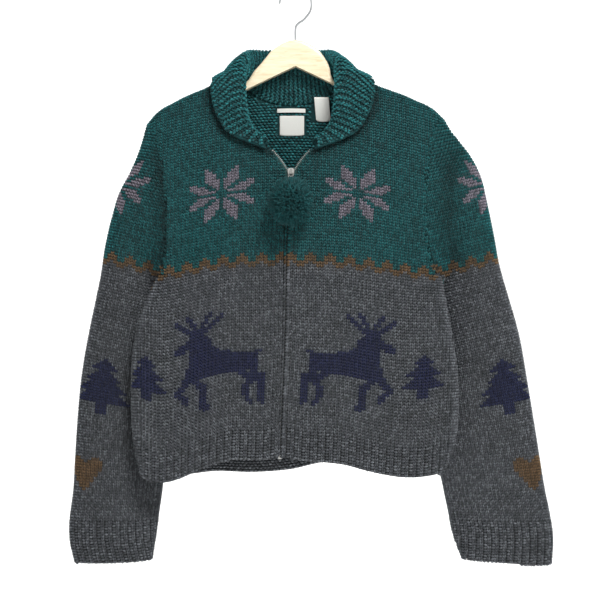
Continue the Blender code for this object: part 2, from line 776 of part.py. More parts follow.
def build_zip_tape(side, material):
    """A zip tape behind the front edge, with the line of teeth as a bead along it."""
    sections = []
    width = 10.0
    for z in list(np.linspace(-686, -290, 12)) + [-284, -277, -270, -262, -255, -248, -242]:
        x = ZIP.at(z, "x") + side.sign * (max(ZIP.at(z, "spread"), 0.0) + 0.2)
        slope = (max(ZIP.at(z + 2, "spread"), 0) - max(ZIP.at(z - 2, "spread"), 0)) / 4
        out = unit(np.array([side.sign, 0.0, -slope]))
        teeth, tape = TEETH_HALF, TAPE_HALF
        section = [
            (0, teeth), (0, -teeth), (TEETH_WIDTH, -teeth), (TEETH_WIDTH, -tape),
            (width, -tape), (width, tape), (TEETH_WIDTH, tape), (TEETH_WIDTH, teeth),
        ]
        middle = np.array([x, tape_y(x, z), z])
        sections.append([middle + out * across + np.array([0, -ahead, 0]) for across, ahead in section])
    return loft(f"zip_tape_{side.name}", sections, material)


def box_mesh(mesh, low, high):
    """Adds a box between two corners to a bmesh."""
    made = bmesh.ops.create_cube(mesh, size=1.0)["verts"]
    low, high = np.array(low, float), np.array(high, float)
    for vert in made:
        vert.co = [float(v) for v in (mix(low, high, np.array(vert.co) + 0.5)) * MM]
    return made


def join_solids(target, tool):
    """Unites a second solid into the first."""
    cut = target.modifiers.new("join", "BOOLEAN")
    cut.operation, cut.object = "UNION", tool
    tool.hide_render, tool.display_type = True, "WIRE"


def plate_y(z):
    """Front of the slider's front plate, which lies on the teeth."""
    return tape_y(CENTRE_X, z) - TEETH_HALF - RUNNING_GAP - SLIDER_PLATE


def pivot():
    """The pull's hinge line, in front of the slider."""
    return np.array([CENTRE_X, plate_y(SLIDER_Z) - PIVOT_OUT, SLIDER_Z - PIVOT_DOWN])


def build_zip_box(metal):
    """The metal box that ends the zip, between the tapes' feet."""
    low, high = -696.5, -686.35
    x, z = ZIP.at(-692, "x"), (low + high) / 2
    y = tape_y(x, z)
    size = np.array([4.6, 3.4, high - low]) / 2
    mesh = bmesh.new()
    box_mesh(mesh, np.array([x, y, z]) - size, np.array([x, y, z]) + size)
    return add_object("zip_box", mesh, metal)


def slider_plate(name, offset, metal):
    """One plate of the slider. It narrows to the foot, where the teeth are closed."""
    shape = Table("z half", (-0.5, 0.62), (-0.32, 0.8), (0.1, 1.0), (0.38, 0.92), (0.5, 0.7))
    sections = []
    for share in (-0.5, -0.32, -0.1, 0.1, 0.3, 0.42, 0.5):
        half = SLIDER_WIDTH / 2 * shape.at(share, "half")
        z = SLIDER_Z + share * SLIDER_HEIGHT
        front = plate_y(z) + offset
        back, soft = front + SLIDER_PLATE, 0.4
        sections.append([
            np.array([CENTRE_X + dx, y, z])
            for dx, y in (
                (-half, front + soft), (-half + soft, front), (half - soft, front), (half, front + soft),
                (half, back - soft), (half - soft, back), (-half + soft, back), (-half, back - soft),
            )
        ])
    return loft(name, sections, metal)


def build_slider(metal):
    """The slider: two plates round the teeth, a post between them, and a bridge for the pull."""
    x, z = CENTRE_X, SLIDER_Z
    face = plate_y(z)
    between = 2 * (TEETH_HALF + RUNNING_GAP) + SLIDER_PLATE
    slider = slider_plate("zip_slider", 0.0, metal)
    back_plate = slider_plate("slider_back", between, metal)
    mesh = bmesh.new()
    post_z = z + 4.4
    low, high = plate_y(post_z) + SLIDER_PLATE / 2, plate_y(post_z) + between + SLIDER_PLATE / 2
    box_mesh(mesh, (x - 1.0, low, post_z - 1.4), (x + 1.0, high, post_z + 1.4))
    post = add_object("slider_post", mesh, metal)
    bar, reach, half = BRIDGE_BAR, BRIDGE_REACH, BRIDGE_HALF
    outline = [
        (-half - 0.6, -0.9), (-half, reach - 1.2), (-half + 1.2, reach),
        (half - 1.2, reach), (half, reach - 1.2), (half + 0.6, -0.9),
    ]
    hole = [
        (half - bar + 0.6, -0.9), (half - bar, reach - 1.9), (half - bar - 0.6, reach - bar),
        (-half + bar + 0.6, reach - bar), (-half + bar, reach - 1.9), (-half + bar - 0.6, -0.9),
    ]
    ring = [np.array([x, face - ahead, z + up]) for up, ahead in outline + hole]
    sides = [[p + np.array([dx, 0, 0]) for p in ring] for dx in (-BRIDGE_WIDTH / 2, BRIDGE_WIDTH / 2)]
    bridge = loft("slider_bridge", sides, metal)
    for tool in (post, back_plate, bridge):
        join_solids(slider, tool)
    return slider


def pull_direction():
    """Down the pull as it hangs, leaning out to the pompom."""
    lean = math.radians(PULL_LEAN)
    return np.array([0.0, -math.sin(lean), -math.cos(lean)])


def build_pull(metal):
    """The pull ring through the slider's bridge."""
    wide, tall = PULL_RING
    corner = 1.2
    points = []
    for turn in range(4):
        right = wide / 2 - corner if turn in (0, 3) else corner - wide / 2
        up = -corner if turn in (0, 1) else corner - tall
        for step in range(3):
            angle = math.radians(90 * turn + 45 * step)
            down = -(up + corner * math.sin(angle))
            points.append(pivot() + np.array([right + corner * math.cos(angle), 0, 0]) + pull_direction() * down)
    across = np.cross([1.0, 0, 0], pull_direction())
    return tube("zip_pull", points, PULL_WIRE, metal, closed=True, square_to=across)


def build_pompom(wool):
    """A pompom: locks on a round core, shorter where they lie on the front, with its tying loop."""
    x, y, z = pivot()
    middle = np.array([x, y - POMPOM_OUT, z - POMPOM_DROP])
    mesh = bmesh.new()
    bmesh.ops.create_icosphere(mesh, subdivisions=3, radius=1.0)
    chosen = set()
    mesh.faces.ensure_lookup_table()
    for face in mesh.faces:
        near = {other.index for edge in face.edges for other in edge.link_faces}
        if not near & chosen:
            chosen.add(face.index)
    for vert in mesh.verts:
        vert.co = vert.co * POMPOM_CORE
    locks = [mesh.faces[i] for i in sorted(chosen)]
    cloth = wall_y(x, z - POMPOM_DROP - 10) - KNIT
    directions = [np.array(f.normal) for f in locks]
    made = bmesh.ops.extrude_discrete_faces(mesh, faces=locks)["faces"]
    for number, (face, direction) in enumerate(zip(made, directions)):
        length = POMPOM_RADIUS * (0.93 + 0.07 * math.sin(number * 2.4))
        room = cloth - middle[1] - 2.0
        if direction[1] * length > room:
            length = room / direction[1]
        tip = direction * length
        centre = np.array(face.calc_center_median())
        for vert in face.verts:
            vert.co = tip + (np.array(vert.co) - centre) * 1.35
    tall = np.array([1.0, 1.0, POMPOM_TALL])
    for vert in mesh.verts:
        vert.co = [float(v) for v in (np.array(vert.co) * tall + middle) * MM]
    pompom = add_object("pompom", mesh, wool)
    loop_radius, yarn = 2.7, 1.2
    slack = loop_radius - yarn - PULL_WIRE - 0.35
    loop_middle = np.array([x, y, z]) + pull_direction() * (PULL_RING[1] + slack)
    route = [
        loop_middle + loop_radius * np.array([0, math.cos(a), math.sin(a)])
        for a in (2 * math.pi * k / 14 for k in range(14))
    ]
    sideways = (1.0, 0.0, 0.0)
    loop = tube("tie_loop", route, yarn, wool, closed=True, square_to=sideways)
    towards = unit(middle - loop_middle)
    stem = tube(
        "tie_stem",
        [loop_middle + towards * (loop_radius - 0.3), middle - towards * (POMPOM_CORE - 4)],
        yarn * 1.1,
        wool,
        square_to=sideways,
    )
    join_solids(pompom, stem)
    join_solids(pompom, loop)
    return pompom


def sheet_on_back(name, x_range, z_range, material, thickness, steps, bow=0.0, top_lift=0.0):
    """A label lying on the inside of the back, made from the back's own surface."""
    xs, zs = np.linspace(*x_range, steps[0] + 1), np.linspace(*z_range, steps[1] + 1)
    wall = Wall(False)
    lift = 0.5
    for side_rows, offset in ((wall.outer, lift + thickness), (wall.inner, lift)):
        for z in zs:
            row = []
            for share, x in zip(np.linspace(-1, 1, len(xs)), xs):
                y = wall_y(x, z, BACK) - offset - bow * (1 - share**2)
                y -= top_lift * (z - zs[0]) / (zs[-1] - zs[0])
                row.append(np.array([x, y, z]))
            side_rows.append(wall.row(row))
    return wall.finish(name, material)


def build_hanger(wood):
    """The wooden hanger: a flat board with a domed head and two arms under the shoulders."""
    head = list(HANGER_HEAD.keys)
    arm = list(np.linspace(84, HANGER_REACH - 4, 7)) + [HANGER_REACH]
    bottom = Table("x z", (0, -115.0), (NECK_HALF, -151.5), (130, -181), (HANGER_REACH, -207))

    def top_z(x):
        if head[0] <= x <= head[-1]:
            return HANGER_HEAD.at(x, "top")
        side = RIGHT if x < 0 else LEFT
        drop = 4.0 if abs(x) == HANGER_REACH else 0.0
        return shoulder_height(side, x) - WOOD_BELOW_CLOTH - drop

    low_spread = [-x for x in arm[::-1]] + [-62, -30, 0, 30, 62] + arm
    top = [(x, top_z(x)) for x in [-x for x in arm[::-1]] + head + [74] + arm]
    low = [(x, bottom.at(abs(x), "z")) for x in low_spread[::-1]]
    outline = top + low
    mesh = bmesh.new()
    verts = [mesh.verts.new((x * MM, -WOOD / 2 * MM, z * MM)) for x, z in outline]
    face = mesh.faces.new(verts)
    made = bmesh.ops.extrude_face_region(mesh, geom=[face])["geom"]
    moved = [v for v in made if isinstance(v, bmesh.types.BMVert)]
    bmesh.ops.translate(mesh, verts=moved, vec=(0, WOOD * MM, 0))
    top_points = {(round(x, 3), round(z, 3)) for x, z in top}
    rims = []
    for edge in mesh.edges:
        a, b = edge.verts
        if abs(a.co.y - b.co.y) > 1e-6:
            continue
        if all((round(v.co.x / MM, 3), round(v.co.z / MM, 3)) in top_points for v in (a, b)):
            rims.append(edge)
    bmesh.ops.bevel(mesh, geom=rims, offset=WOOD_EDGE * MM, segments=3, profile=0.5, affect="EDGES")
    hanger = add_object("hanger", mesh, wood)
    hole = tube("hook_hole", [(0, 0, -70), (0, 0, -96.5)], HOOK_WIRE + 0.35, wood)
    cut = hanger.modifiers.new("hook_hole", "BOOLEAN")
    cut.operation, cut.object = "DIFFERENCE", hole
    hole.hide_render, hole.display_type = True, "WIRE"
    return hanger


def build_hook(metal):
    """The steel hook: a stem out of the hanger's head, a bend to one side and an open round top."""
    centre_z = HOOK_WIRE - HOOK_RADIUS
    stem = [(0, 0, -96), (0, 0, -84), (0, 0, -72), (0, 0, -60), (1.2, 0, -54), (5.5, 0, -49.4), (12, 0, -45.2)]
    start, end, steps = math.radians(-42), math.radians(176), 22
    arc = []
    for k in range(steps + 1):
        angle = mix(start, end, k / steps)
        arc.append((HOOK_RADIUS * math.cos(angle), 0, centre_z + HOOK_RADIUS * math.sin(angle)))
    return tube("hanger_hook", stem + arc, HOOK_WIRE, metal)


def finish(name, colour, roughness, metallic=0.0):
    """A plain material."""
    material = bpy.data.materials.new(name)
    material.use_nodes = True
    shader = material.node_tree.nodes["Principled BSDF"]
    shader.inputs["Base Color"].default_value = (*colour, 1.0)
    shader.inputs["Roughness"].default_value = roughness
    shader.inputs["Metallic"].default_value = metallic
    return material


def build():
    for obj in list(bpy.data.objects):
        bpy.data.objects.remove(obj)
    green = finish("green_wool", (0.012, 0.09, 0.085), 0.95)
    grey = finish("grey_wool", (0.075, 0.08, 0.095), 0.95)
    tape = finish("zip_tape", (0.01, 0.05, 0.045), 0.9)
    steel = finish("zip_metal", (0.7, 0.7, 0.7), 0.3, 1.0)
    wood = finish("beech", (0.72, 0.5, 0.25), 0.5)
    cotton = finish("label_cotton", (0.85, 0.85, 0.83), 0.9)

    fronts = {side: face_grid(side, FRONT) for side in (RIGHT, LEFT)}
    halves = {side: face_grid(side, BACK) for side in (RIGHT, LEFT)}
    back = np.concatenate([halves[RIGHT][:, ::-1], halves[LEFT][:, 1:]], axis=1)
    sleeves = {side: sleeve_grid(side) for side in (RIGHT, LEFT)}
    grids = [(fronts[RIGHT], 1), (fronts[LEFT], -1), (back, 1), (sleeves[RIGHT], 1), (sleeves[LEFT], -1)]
    sums = shared_normals(grids)

    for side in (RIGHT, LEFT):
        knitted_piece(f"front_{side.name}", fronts[side], sums, grey, rib_row=1)
    knitted_piece("back", back, sums, grey, rib_row=1)
    for side in (RIGHT, LEFT):
        knitted_piece(f"sleeve_{side.name}", sleeves[side], sums, grey, closed=True, rib_row=2, cuff=True)
    build_collar(fronts, back, sums, green)
    for side in (RIGHT, LEFT):
        build_zip_tape(side, tape)
    build_slider(steel)
    build_zip_box(steel)
    build_pull(steel)
    build_pompom(green)
    sheet_on_back("neck_label", (-24, 13), (-216, -186), cotton, 0.7, (6, 4))
    sheet_on_back("neck_loop", (-28, 15), (-181.5, -175.5), cotton, 1.0, (8, 1), bow=2.5)
    sheet_on_back("size_tag", (28, 50), (-195, -159), cotton, 0.6, (3, 5), top_lift=3.4)
    build_hanger(wood)
    build_hook(steel)


build()
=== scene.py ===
"""Thick hand-knitted zip cardigan with a shawl collar, on a wooden hanger.

The garment faces -Y, +Z is up and the origin is the inside top of the hanger's hook. Sizes in the classes
are millimetres; meshes are made in metres. "Right" and "left" are the wearer's, so right is at -X.
"""

from __future__ import annotations

import logging
import math
from dataclasses import dataclass, field, fields, replace
from enum import Enum
from typing import Callable, Iterable, Sequence

import bmesh
import bpy
import numpy as np
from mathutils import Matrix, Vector
from mathutils.kdtree import KDTree

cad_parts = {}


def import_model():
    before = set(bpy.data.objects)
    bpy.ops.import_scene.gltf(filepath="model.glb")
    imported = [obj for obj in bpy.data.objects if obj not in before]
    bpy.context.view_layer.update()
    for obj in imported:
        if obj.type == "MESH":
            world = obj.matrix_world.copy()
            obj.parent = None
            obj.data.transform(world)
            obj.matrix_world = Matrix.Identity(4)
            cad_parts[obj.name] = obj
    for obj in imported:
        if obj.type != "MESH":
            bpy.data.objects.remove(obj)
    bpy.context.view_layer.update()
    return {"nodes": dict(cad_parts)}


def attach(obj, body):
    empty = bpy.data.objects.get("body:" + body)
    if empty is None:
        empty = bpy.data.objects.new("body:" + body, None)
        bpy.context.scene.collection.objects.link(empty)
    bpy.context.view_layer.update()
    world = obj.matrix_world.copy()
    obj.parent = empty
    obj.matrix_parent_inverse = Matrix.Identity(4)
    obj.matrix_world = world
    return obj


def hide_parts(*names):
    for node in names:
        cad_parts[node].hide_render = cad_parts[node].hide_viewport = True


log = logging.getLogger("cardigan")
MM = 0.001
Array = np.ndarray
Nodes = bpy.types.NodeTree
Socket = bpy.types.NodeSocket


class Yarn(Enum):
    """The wool colours, by number in the colour tables."""

    GREEN = 0
    GREY = 1
    BROWN = 2
    LAVENDER = 3
    NAVY = 4


class Face(Enum):
    """The way that one face of the body looks along Y."""

    FRONT = -1
    BACK = 1


# ---------------------------------------------------------------- small mathematics


def ease(t: Array | float) -> Array:
    """Goes from 0 to 1 with a soft start and end."""
    t = np.clip(t, 0.0, 1.0)
    return t * t * (3 - 2 * t)


def climb(z: Array, foot: float, height: float) -> Array:
    """Goes softly from 0 to 1 over a height that begins at a foot."""
    return ease((z - foot) / height)


def mix(a: Array | float, b: Array | float, t: Array | float) -> Array | float:
    """Goes straight from a to b as t goes from 0 to 1."""
    return a + (b - a) * t


def unit(v: Array) -> Array:
    """Gives each vector a length of one."""
    return v / np.maximum(np.linalg.norm(v, axis=-1, keepdims=True), 1e-9)


def travelled(points: Array) -> Array:
    """Distance along a line of points, from 0 at its first point."""
    return np.concatenate([[0.0], np.cumsum(np.linalg.norm(np.diff(points, axis=0), axis=1))])


def cubic(values: Array, keys: Array, at: Array) -> Array:
    """Reads a smooth curve through rows of values.

    Args:
        values: One row for each key.
        keys: Where the rows stand, rising.
        at: Where to read.

    Returns:
        One row for each place in at.
    """
    slopes = np.gradient(values, keys, axis=0)
    i = np.clip(np.searchsorted(keys, at, side="right") - 1, 0, len(keys) - 2)
    shape = (-1,) + (1,) * (values.ndim - 1)
    step = (keys[i + 1] - keys[i]).reshape(shape)
    t = (at - keys[i]).reshape(shape) / step
    a, b, m, n = values[i], values[i + 1], slopes[i] * step, slopes[i + 1] * step
    start = (2 * t**3 - 3 * t**2 + 1) * a + (t**3 - 2 * t**2 + t) * m
    return start + (3 * t**2 - 2 * t**3) * b + (t**3 - t**2) * n


def read_rows(rows: Array, gone: Array, places: Array) -> Array:
    """Reads rows of three numbers at places along a line."""
    return np.column_stack([np.interp(places, gone, rows[:, k]) for k in range(3)])


def gap_to(line: Array, places: Array) -> Array:
    """Distance in X and Z from each place to the nearest point of a line."""
    return np.array([np.linalg.norm(line - place[[0, 2]], axis=1).min() for place in places])


def tree_of(points: Array) -> KDTree:
    """Sorts points so that the nearest one is found quickly.

    Args:
        points: The points.

    Returns:
        The tree, which numbers them as they come.
    """
    tree = KDTree(len(points))
    for k, point in enumerate(points):
        tree.insert(point, k)
    tree.balance()
    return tree


class Table:
    """Rows of sizes with named columns, read on smooth curves. The first column is the key."""

    def __init__(self, names: str, *rows: Sequence[float]) -> None:
        """Keeps the rows and their column names.

        Args:
            names: The columns' names, with spaces between.
            rows: The rows, by rising key.
        """
        self.names = names.split()
        self.rows = np.array(rows, float)
        self.keys = self.rows[:, 0]

    def at(self, key: float | Array, name: str) -> float | Array:
        """Reads one column at a key or at many.

        Args:
            key: Where to read.
            name: The column's name.

        Returns:
            One value for each key.
        """
        places = np.clip(np.atleast_1d(np.asarray(key, float)), self.keys[0], self.keys[-1])
        found = cubic(self.rows[:, self.names.index(name)], self.keys, places)
        return found if np.ndim(key) else float(found[0])


# ---------------------------------------------------------------- sizes


@dataclass(frozen=True)
class Knit:
    """The knitted cloth and its gauge."""

    wall: float = 5.0
    collar_wall: float = 6.0
    shell: float = 3.6  # the solid part of the wall, under the stitches
    seam_gap: float = 0.5
    wale: float = 5.7  # width of a stitch
    course: float = 4.2  # height of a stitch
    garter: float = 8.6  # one ridge of the collar
    hem_rows: int = 10
    cuff_rows: int = 15
    yoke: int = 66  # the course of the zigzag's low points, from the hem and from the cuff
    sleeve_yoke: int = 106
    row_step: float = 4.0  # spacing of the fine surface
    column_step: float = 2.0
    shell_rows: int = 2  # the solid part keeps each second row and fourth column
    shell_columns: int = 4


@dataclass(frozen=True)
class Body:
    """Sizes of the fronts and back."""

    centre_x: float = -6.5
    neck_half: float = 76.0
    neck_point_z: float = -126.0
    top_round: float = 12.5
    depth_over: float = 200.0
    front_depth: float = 45.0
    back_depth: float = 30.0
    side_round: float = 12.0
    side_half: float = 11.0
    side_blend: float = 115.0
    fold_fade: float = 60.0  # the soft folds fade out over this height under the shoulder
    underarm_fade: float = 90.0
    underarm_swell: float = 4.0  # how much further forward than back the side's cloth goes at the underarm
    armhole_half: float = 28.0
    neck_share: float = 0.34  # how much of the back's half width at the hem lies under the neck
    arm_rows: tuple = (165, 150, 135, 120, 105, 90, 75, 60, 45, 30, 15, 7.5, 0)
    lower_rows: tuple = (0.0, 0.17, 0.34, 0.51, 0.68, 0.83, 0.92, 1.0)
    opening_rows: tuple = (-402, -352, -308, -281, -259)
    neck_steps: tuple = (0.0, 0.17, 0.34, 0.5, 0.66, 0.83, 0.96, 1.0)
    back_steps: tuple = (0.0, 0.2, 0.4, 0.6, 0.8)
    shoulder_steps: tuple = (0.0, 0.13, 0.26, 0.39, 0.51, 0.63, 0.74, 0.84, 0.915, 0.965, 1.0)


KNIT = Knit()
BODY = Body()

SIDE = Table(
    "height right left depth",
    (-722, -224.0, 214.0, -22),
    (-695, -231.0, 226.0, -24),
    (-665, -235.0, 232.0, -26),
    (-615, -237.5, 236.0, -27),
    (-565, -236.7, 233.0, -27),
    (-520, -231.5, 227.0, -25),
    (-480, -221.0, 220.5, -23),
    (-455, -211.5, 217.5, -13),
    (-432, -204.0, 215.5, -2),
)
HEM = {
    Face.FRONT: Table(
        "x height",
        (-226, -722), (-200, -732), (-172, -727), (-137, -711), (-97, -698), (-45, -697), (-24, -693),
        (14, -699), (66, -703), (106, -714), (150, -723), (190, -723), (215, -718),
    ),
    Face.BACK: Table(
        "x height",
        (-226, -722), (-180, -728), (-125, -727), (-60, -728), (-28, -726), (0, -722),
        (20, -717), (66, -711), (110, -716), (160, -721), (215, -718),
    ),
}
SHOULDER = Table("share drop", (0, 0), (0.4, 0.355), (0.6, 0.5), (0.75, 0.64), (0.88, 0.77), (1, 1))
FRONT_NECK = Table(
    "share reach height",
    (0, 35.5, -240.0), (0.25, 58, -224), (0.5, 75, -198), (0.75, 81, -161), (1, 76, -126),
)
BACK_NECK = Table(
    "share reach height", (0, 0, -172), (0.25, 22, -170), (0.5, 45, -163), (0.75, 65, -150), (1, 76, -126)
)
ZIP = Table(
    "height x spread gap",
    (-700, -23.0, 0, 2.6),
    (-626, -20.2, 0, 2.8),
    (-517, -15.7, 0, 3.4),
    (-370, -12.2, 0, 4.5),
    (-300, -8.0, 0, 6.0),
    (-284, -7.0, 0, 7.0),
    (-270, -6.5, 7, 6.5),
    (-255, -6.5, 17, 5.5),
    (-240, -6.5, 31, 4.5),
)
FOLDS = (  # face, x0, z0, x1, z1, width, height
    (-1, 128, -725, 150, -560, 26, -4.0),
    (-1, 188, -640, 196, -420, 22, 3.5),
    (-1, -176, -300, -186, -470, 20, 3.5),
    (-1, -110, -740, -96, -610, 24, 3.0),
    (-1, 62, -735, 48, -600, 26, 3.0),
    (1, -120, -735, -90, -560, 28, 4.0),
    (1, 96, -735, 70, -540, 30, 4.0),
    (1, 8, -730, 0, -600, 26, -3.5),
)
# Y of a sleeve's outer and inner edge and half its thickness, ring by ring, the same on both sides.
SLEEVE_DEPTHS = (
    (0, -2, 28), (0, 4, 28), (0, 12, 28), (0, 20, 28), (0, 28, 28), (0, 31, 28),
    (0, 33, 28), (1, 34, 27), (2, 34, 25), (3, 33, 23), (4, 32, 21), (4, 30, 20),
    (4, 27, 20), (4, 23, 20), (3, 18, 19), (2, 15, 18), (2, 13, 17),
)


def sleeve_table(*rings: Sequence[float]) -> Table:
    """Joins X and Z of a sleeve's outer and inner edge, ring by ring, with the shared depths."""
    names = "ring outer_x outer_z inner_x inner_z outer_y inner_y half"
    return Table(names, *((k, *ring, *SLEEVE_DEPTHS[k]) for k, ring in enumerate(rings)))


RIGHT_SLEEVE = sleeve_table(
    (-218.5, -205, -204, -432), (-223, -222, -211, -431), (-231, -248, -215, -434),
    (-244, -278, -216, -438), (-259, -306, -214, -446), (-269.5, -340, -211, -457),
    (-280, -384, -207, -474), (-287, -430, -203, -496), (-296, -472, -200, -522),
    (-308, -530, -198, -560), (-316.6, -582, -199, -602), (-322, -640, -201, -652),
    (-326, -702, -204, -706), (-329, -754, -208, -752), (-334, -796, -213, -792),
    (-333, -826, -217, -824), (-326, -857, -222, -856),
)
LEFT_SLEEVE = sleeve_table(
    (220, -199, 215.5, -432), (229, -214.5, 223, -431), (243.5, -233, 226, -434),
    (259.5, -255, 227, -438), (273, -283, 227, -446), (282, -320, 225, -457),
    (292, -367, 222, -474), (300.5, -412, 219, -496), (315, -463, 217, -522),
    (330, -515, 216, -556), (341.5, -577, 216, -600), (350.5, -632, 217, -650),
    (359.5, -688, 221, -702), (369.5, -750, 230, -750), (377, -788, 237, -786),
    (381, -823, 244, -821), (379, -861, 256, -853),
)
COLLAR = Table(
    "share fold_x fold_y fold_z edge_x edge_y edge_z radius",
    (0.00, 0, 21, -90.5, 0, 36, -178, 8.0),
    (0.20, 41, 19, -89.5, 60, 34, -175, 8.0),
    (0.38, 66, 12, -92, 100, 27, -159, 8.0),
    (0.48, 72, -1, -102, 115, -4, -149, 8.0),
    (0.62, 74, -20, -132, 118, -20, -164, 8.0),
    (0.76, 71, -33, -175, 109, -26, -194, 7.0),
    (0.90, 62, -40, -211, 84, -35, -225, 6.0),
    (1.00, 39, -41, -233, 34, -40, -246, 4.5),
)


@dataclass(frozen=True)
class Side:
    """One side of the garment."""

    name: str
    sign: int
    sleeve: Table
    armhole_dip: float

    def tip(self, axis: str) -> float:
        """X or Z of the shoulder's tip."""
        return self.sleeve.at(0, f"outer_{axis}")

    @property
    def underarm_z(self) -> float:
        """Height of the underarm."""
        return self.sleeve.at(0, "inner_z")


RIGHT = Side("right", -1, RIGHT_SLEEVE, 22.0)
LEFT = Side("left", 1, LEFT_SLEEVE, 29.0)
SIDES = (RIGHT, LEFT)


# ---------------------------------------------------------------- the garment's form


class Form:
    """Works out the inside face of each knitted wall from the sizes."""

    @staticmethod
    def sleeve_point(side: Side, angle: float, ring: float) -> Array:
        """Gives a point of a sleeve; angle 0 is its outer edge and pi its inner edge.

        Args:
            side: Right or left.
            angle: Round the sleeve.
            ring: How far down it, in rows of its table.

        Returns:
            X, Y and Z.
        """
        outer, inner = (
            np.array([side.sleeve.at(ring, f"{edge}_{axis}") for axis in "xyz"])
            for edge in ("outer", "inner")
        )
        along = (outer - inner) / 2
        forward = np.array([0.0, -1.0, 0.0])
        forward = unit(forward - unit(along) * (forward @ unit(along)))
        swell = math.copysign(abs(math.sin(angle)) ** 0.75, math.sin(angle))
        point = (outer + inner) / 2 + along * math.cos(angle) + forward * side.sleeve.at(ring, "half") * swell
        dip = side.armhole_dip * float(1 - ease(ring / 3.5))
        point[0] -= side.sign * dip * abs(math.sin(angle))
        return point

    @staticmethod
    def shoulder_height(side: Side, x: float) -> float:
        """Underside of the cloth over the hanger; over the neck it stays level.

        Args:
            side: Right or left.
            x: Across.

        Returns:
            Z.
        """
        reach = abs(x - BODY.centre_x) - BODY.neck_half
        share = max(reach / (abs(side.tip("x") - BODY.centre_x) - BODY.neck_half), 0)
        return mix(BODY.neck_point_z, side.tip("z"), SHOULDER.at(share, "drop"))

    @staticmethod
    def fold_height(face: Face, x: float, z: float) -> float:
        """Height of the soft folds at a point of the front or back.

        Args:
            face: Front or back.
            x: Across.
            z: Up.

        Returns:
            How far the cloth stands out there.
        """
        total = 0.0
        for looks, x0, z0, x1, z1, width, height in FOLDS:
            if looks != face.value:
                continue
            line_x, line_z = x1 - x0, z1 - z0
            share = ((x - x0) * line_x + (z - z0) * line_z) / (line_x**2 + line_z**2)
            share = min(max(share, 0.0), 1.0)
            away = math.hypot(x - x0 - line_x * share, z - z0 - line_z * share)
            fade = math.cos(share * math.pi / 2) if z0 < -700 else math.sin(share * math.pi)
            total += height * fade * math.exp(-((away / width) ** 2))
        return total

    @classmethod
    def cloth_y(cls, side: Side, face: Face, x: float, z: float, edge: Sequence[float]) -> float:
        """Depth of the wall's inside at a point.

        Args:
            side: The side that the point is on.
            face: Front or back.
            x: Across.
            z: Up.
            edge: X, Y and depth of the piece's side edge at that height.

        Returns:
            Y of the wall's inside.
        """
        edge_x, edge_y, edge_depth = edge
        below = max(cls.shoulder_height(side, x) - z, 0.0)
        over = BODY.top_round * math.sqrt(1 - (1 - min(below / BODY.top_round, 1)) ** 2)
        full = BODY.front_depth if face is Face.FRONT else BODY.back_depth
        full = over + (full - BODY.top_round) * float(ease(below / BODY.depth_over))
        full += cls.fold_height(face, x, z) * float(ease(below / BODY.fold_fade))
        from_edge = abs(edge_x - x)
        rounding = math.sqrt(1 - (1 - min(from_edge / BODY.side_round, 1)) ** 2)
        underarm = float(1 - ease((side.underarm_z - z) / BODY.underarm_fade))
        side_half = BODY.side_half - face.value * BODY.underarm_swell * underarm
        side_half = min(side_half * max(1 - edge_depth / BODY.armhole_half, 0.0), full)
        blend = float(ease(from_edge / BODY.side_blend))
        share = (side_half * rounding + (full - side_half) * blend) / max(full, 1e-6)
        return edge_y * (1 - blend) + face.value * (edge_depth + (full - edge_depth) * share)

    @classmethod
    def wall_y(cls, x: float, z: float, face: Face = Face.FRONT) -> float:
        """Inside of the body's wall well away from its edges."""
        side = RIGHT if x < BODY.centre_x else LEFT
        return cls.cloth_y(side, face, x, z, (side.tip("x"), 0.0, 0.0))

    @staticmethod
    def zip_edge_x(side: Side, z: float) -> float:
        """The knitted front edge beside the zip."""
        return ZIP.at(z, "x") + side.sign * (max(ZIP.at(z, "spread"), 0.0) + ZIP.at(z, "gap"))

    @classmethod
    def side_edge(cls, side: Side, face: Face) -> Array:
        """The side seam and armhole of one face, from hem to shoulder tip.

        Args:
            side: Right or left.
            face: Front or back.

        Returns:
            X, Y and Z of each row.
        """
        hem_z = HEM[Face.FRONT].at(SIDE.at(SIDE.keys[0], side.name), "height")
        points = []
        for share in BODY.lower_rows:
            z = mix(hem_z, side.underarm_z, share)
            points.append([SIDE.at(z, side.name), SIDE.at(z, "depth"), z])
        for turn in BODY.arm_rows:
            points.append(list(cls.sleeve_point(side, -math.radians(turn) * face.value, 0)))
        return np.array(points)

    @classmethod
    def middle_edge(cls, side: Side, face: Face) -> Array:
        """X and Z of the edge opposite the side seam: the zip and neckline, or the back's middle.

        Args:
            side: Right or left.
            face: Front or back.

        Returns:
            X and Z of each row.
        """
        if face is Face.BACK:
            bottom, top = HEM[face].at(BODY.centre_x, "height"), BACK_NECK.at(0, "height")
            last = len(BODY.arm_rows) - 2
            upper = [mix(-440, top, step / last) for step in range(1, last)] + [top - 5, top]
            upper.insert(-2, mix(upper[-3], top, 0.55))
            heights = [mix(bottom, -440, share) for share in BODY.lower_rows] + upper
            return np.array([[BODY.centre_x, z] for z in heights])
        bottom = HEM[face].at(-24, "height")
        heights = [mix(bottom, -440, share) for share in BODY.lower_rows] + list(BODY.opening_rows)
        rows = [[cls.zip_edge_x(side, z), z] for z in heights]
        for share in BODY.neck_steps:
            reach = FRONT_NECK.at(share, "reach")
            rows.append([BODY.centre_x + side.sign * reach, FRONT_NECK.at(share, "height")])
        return np.array(rows)

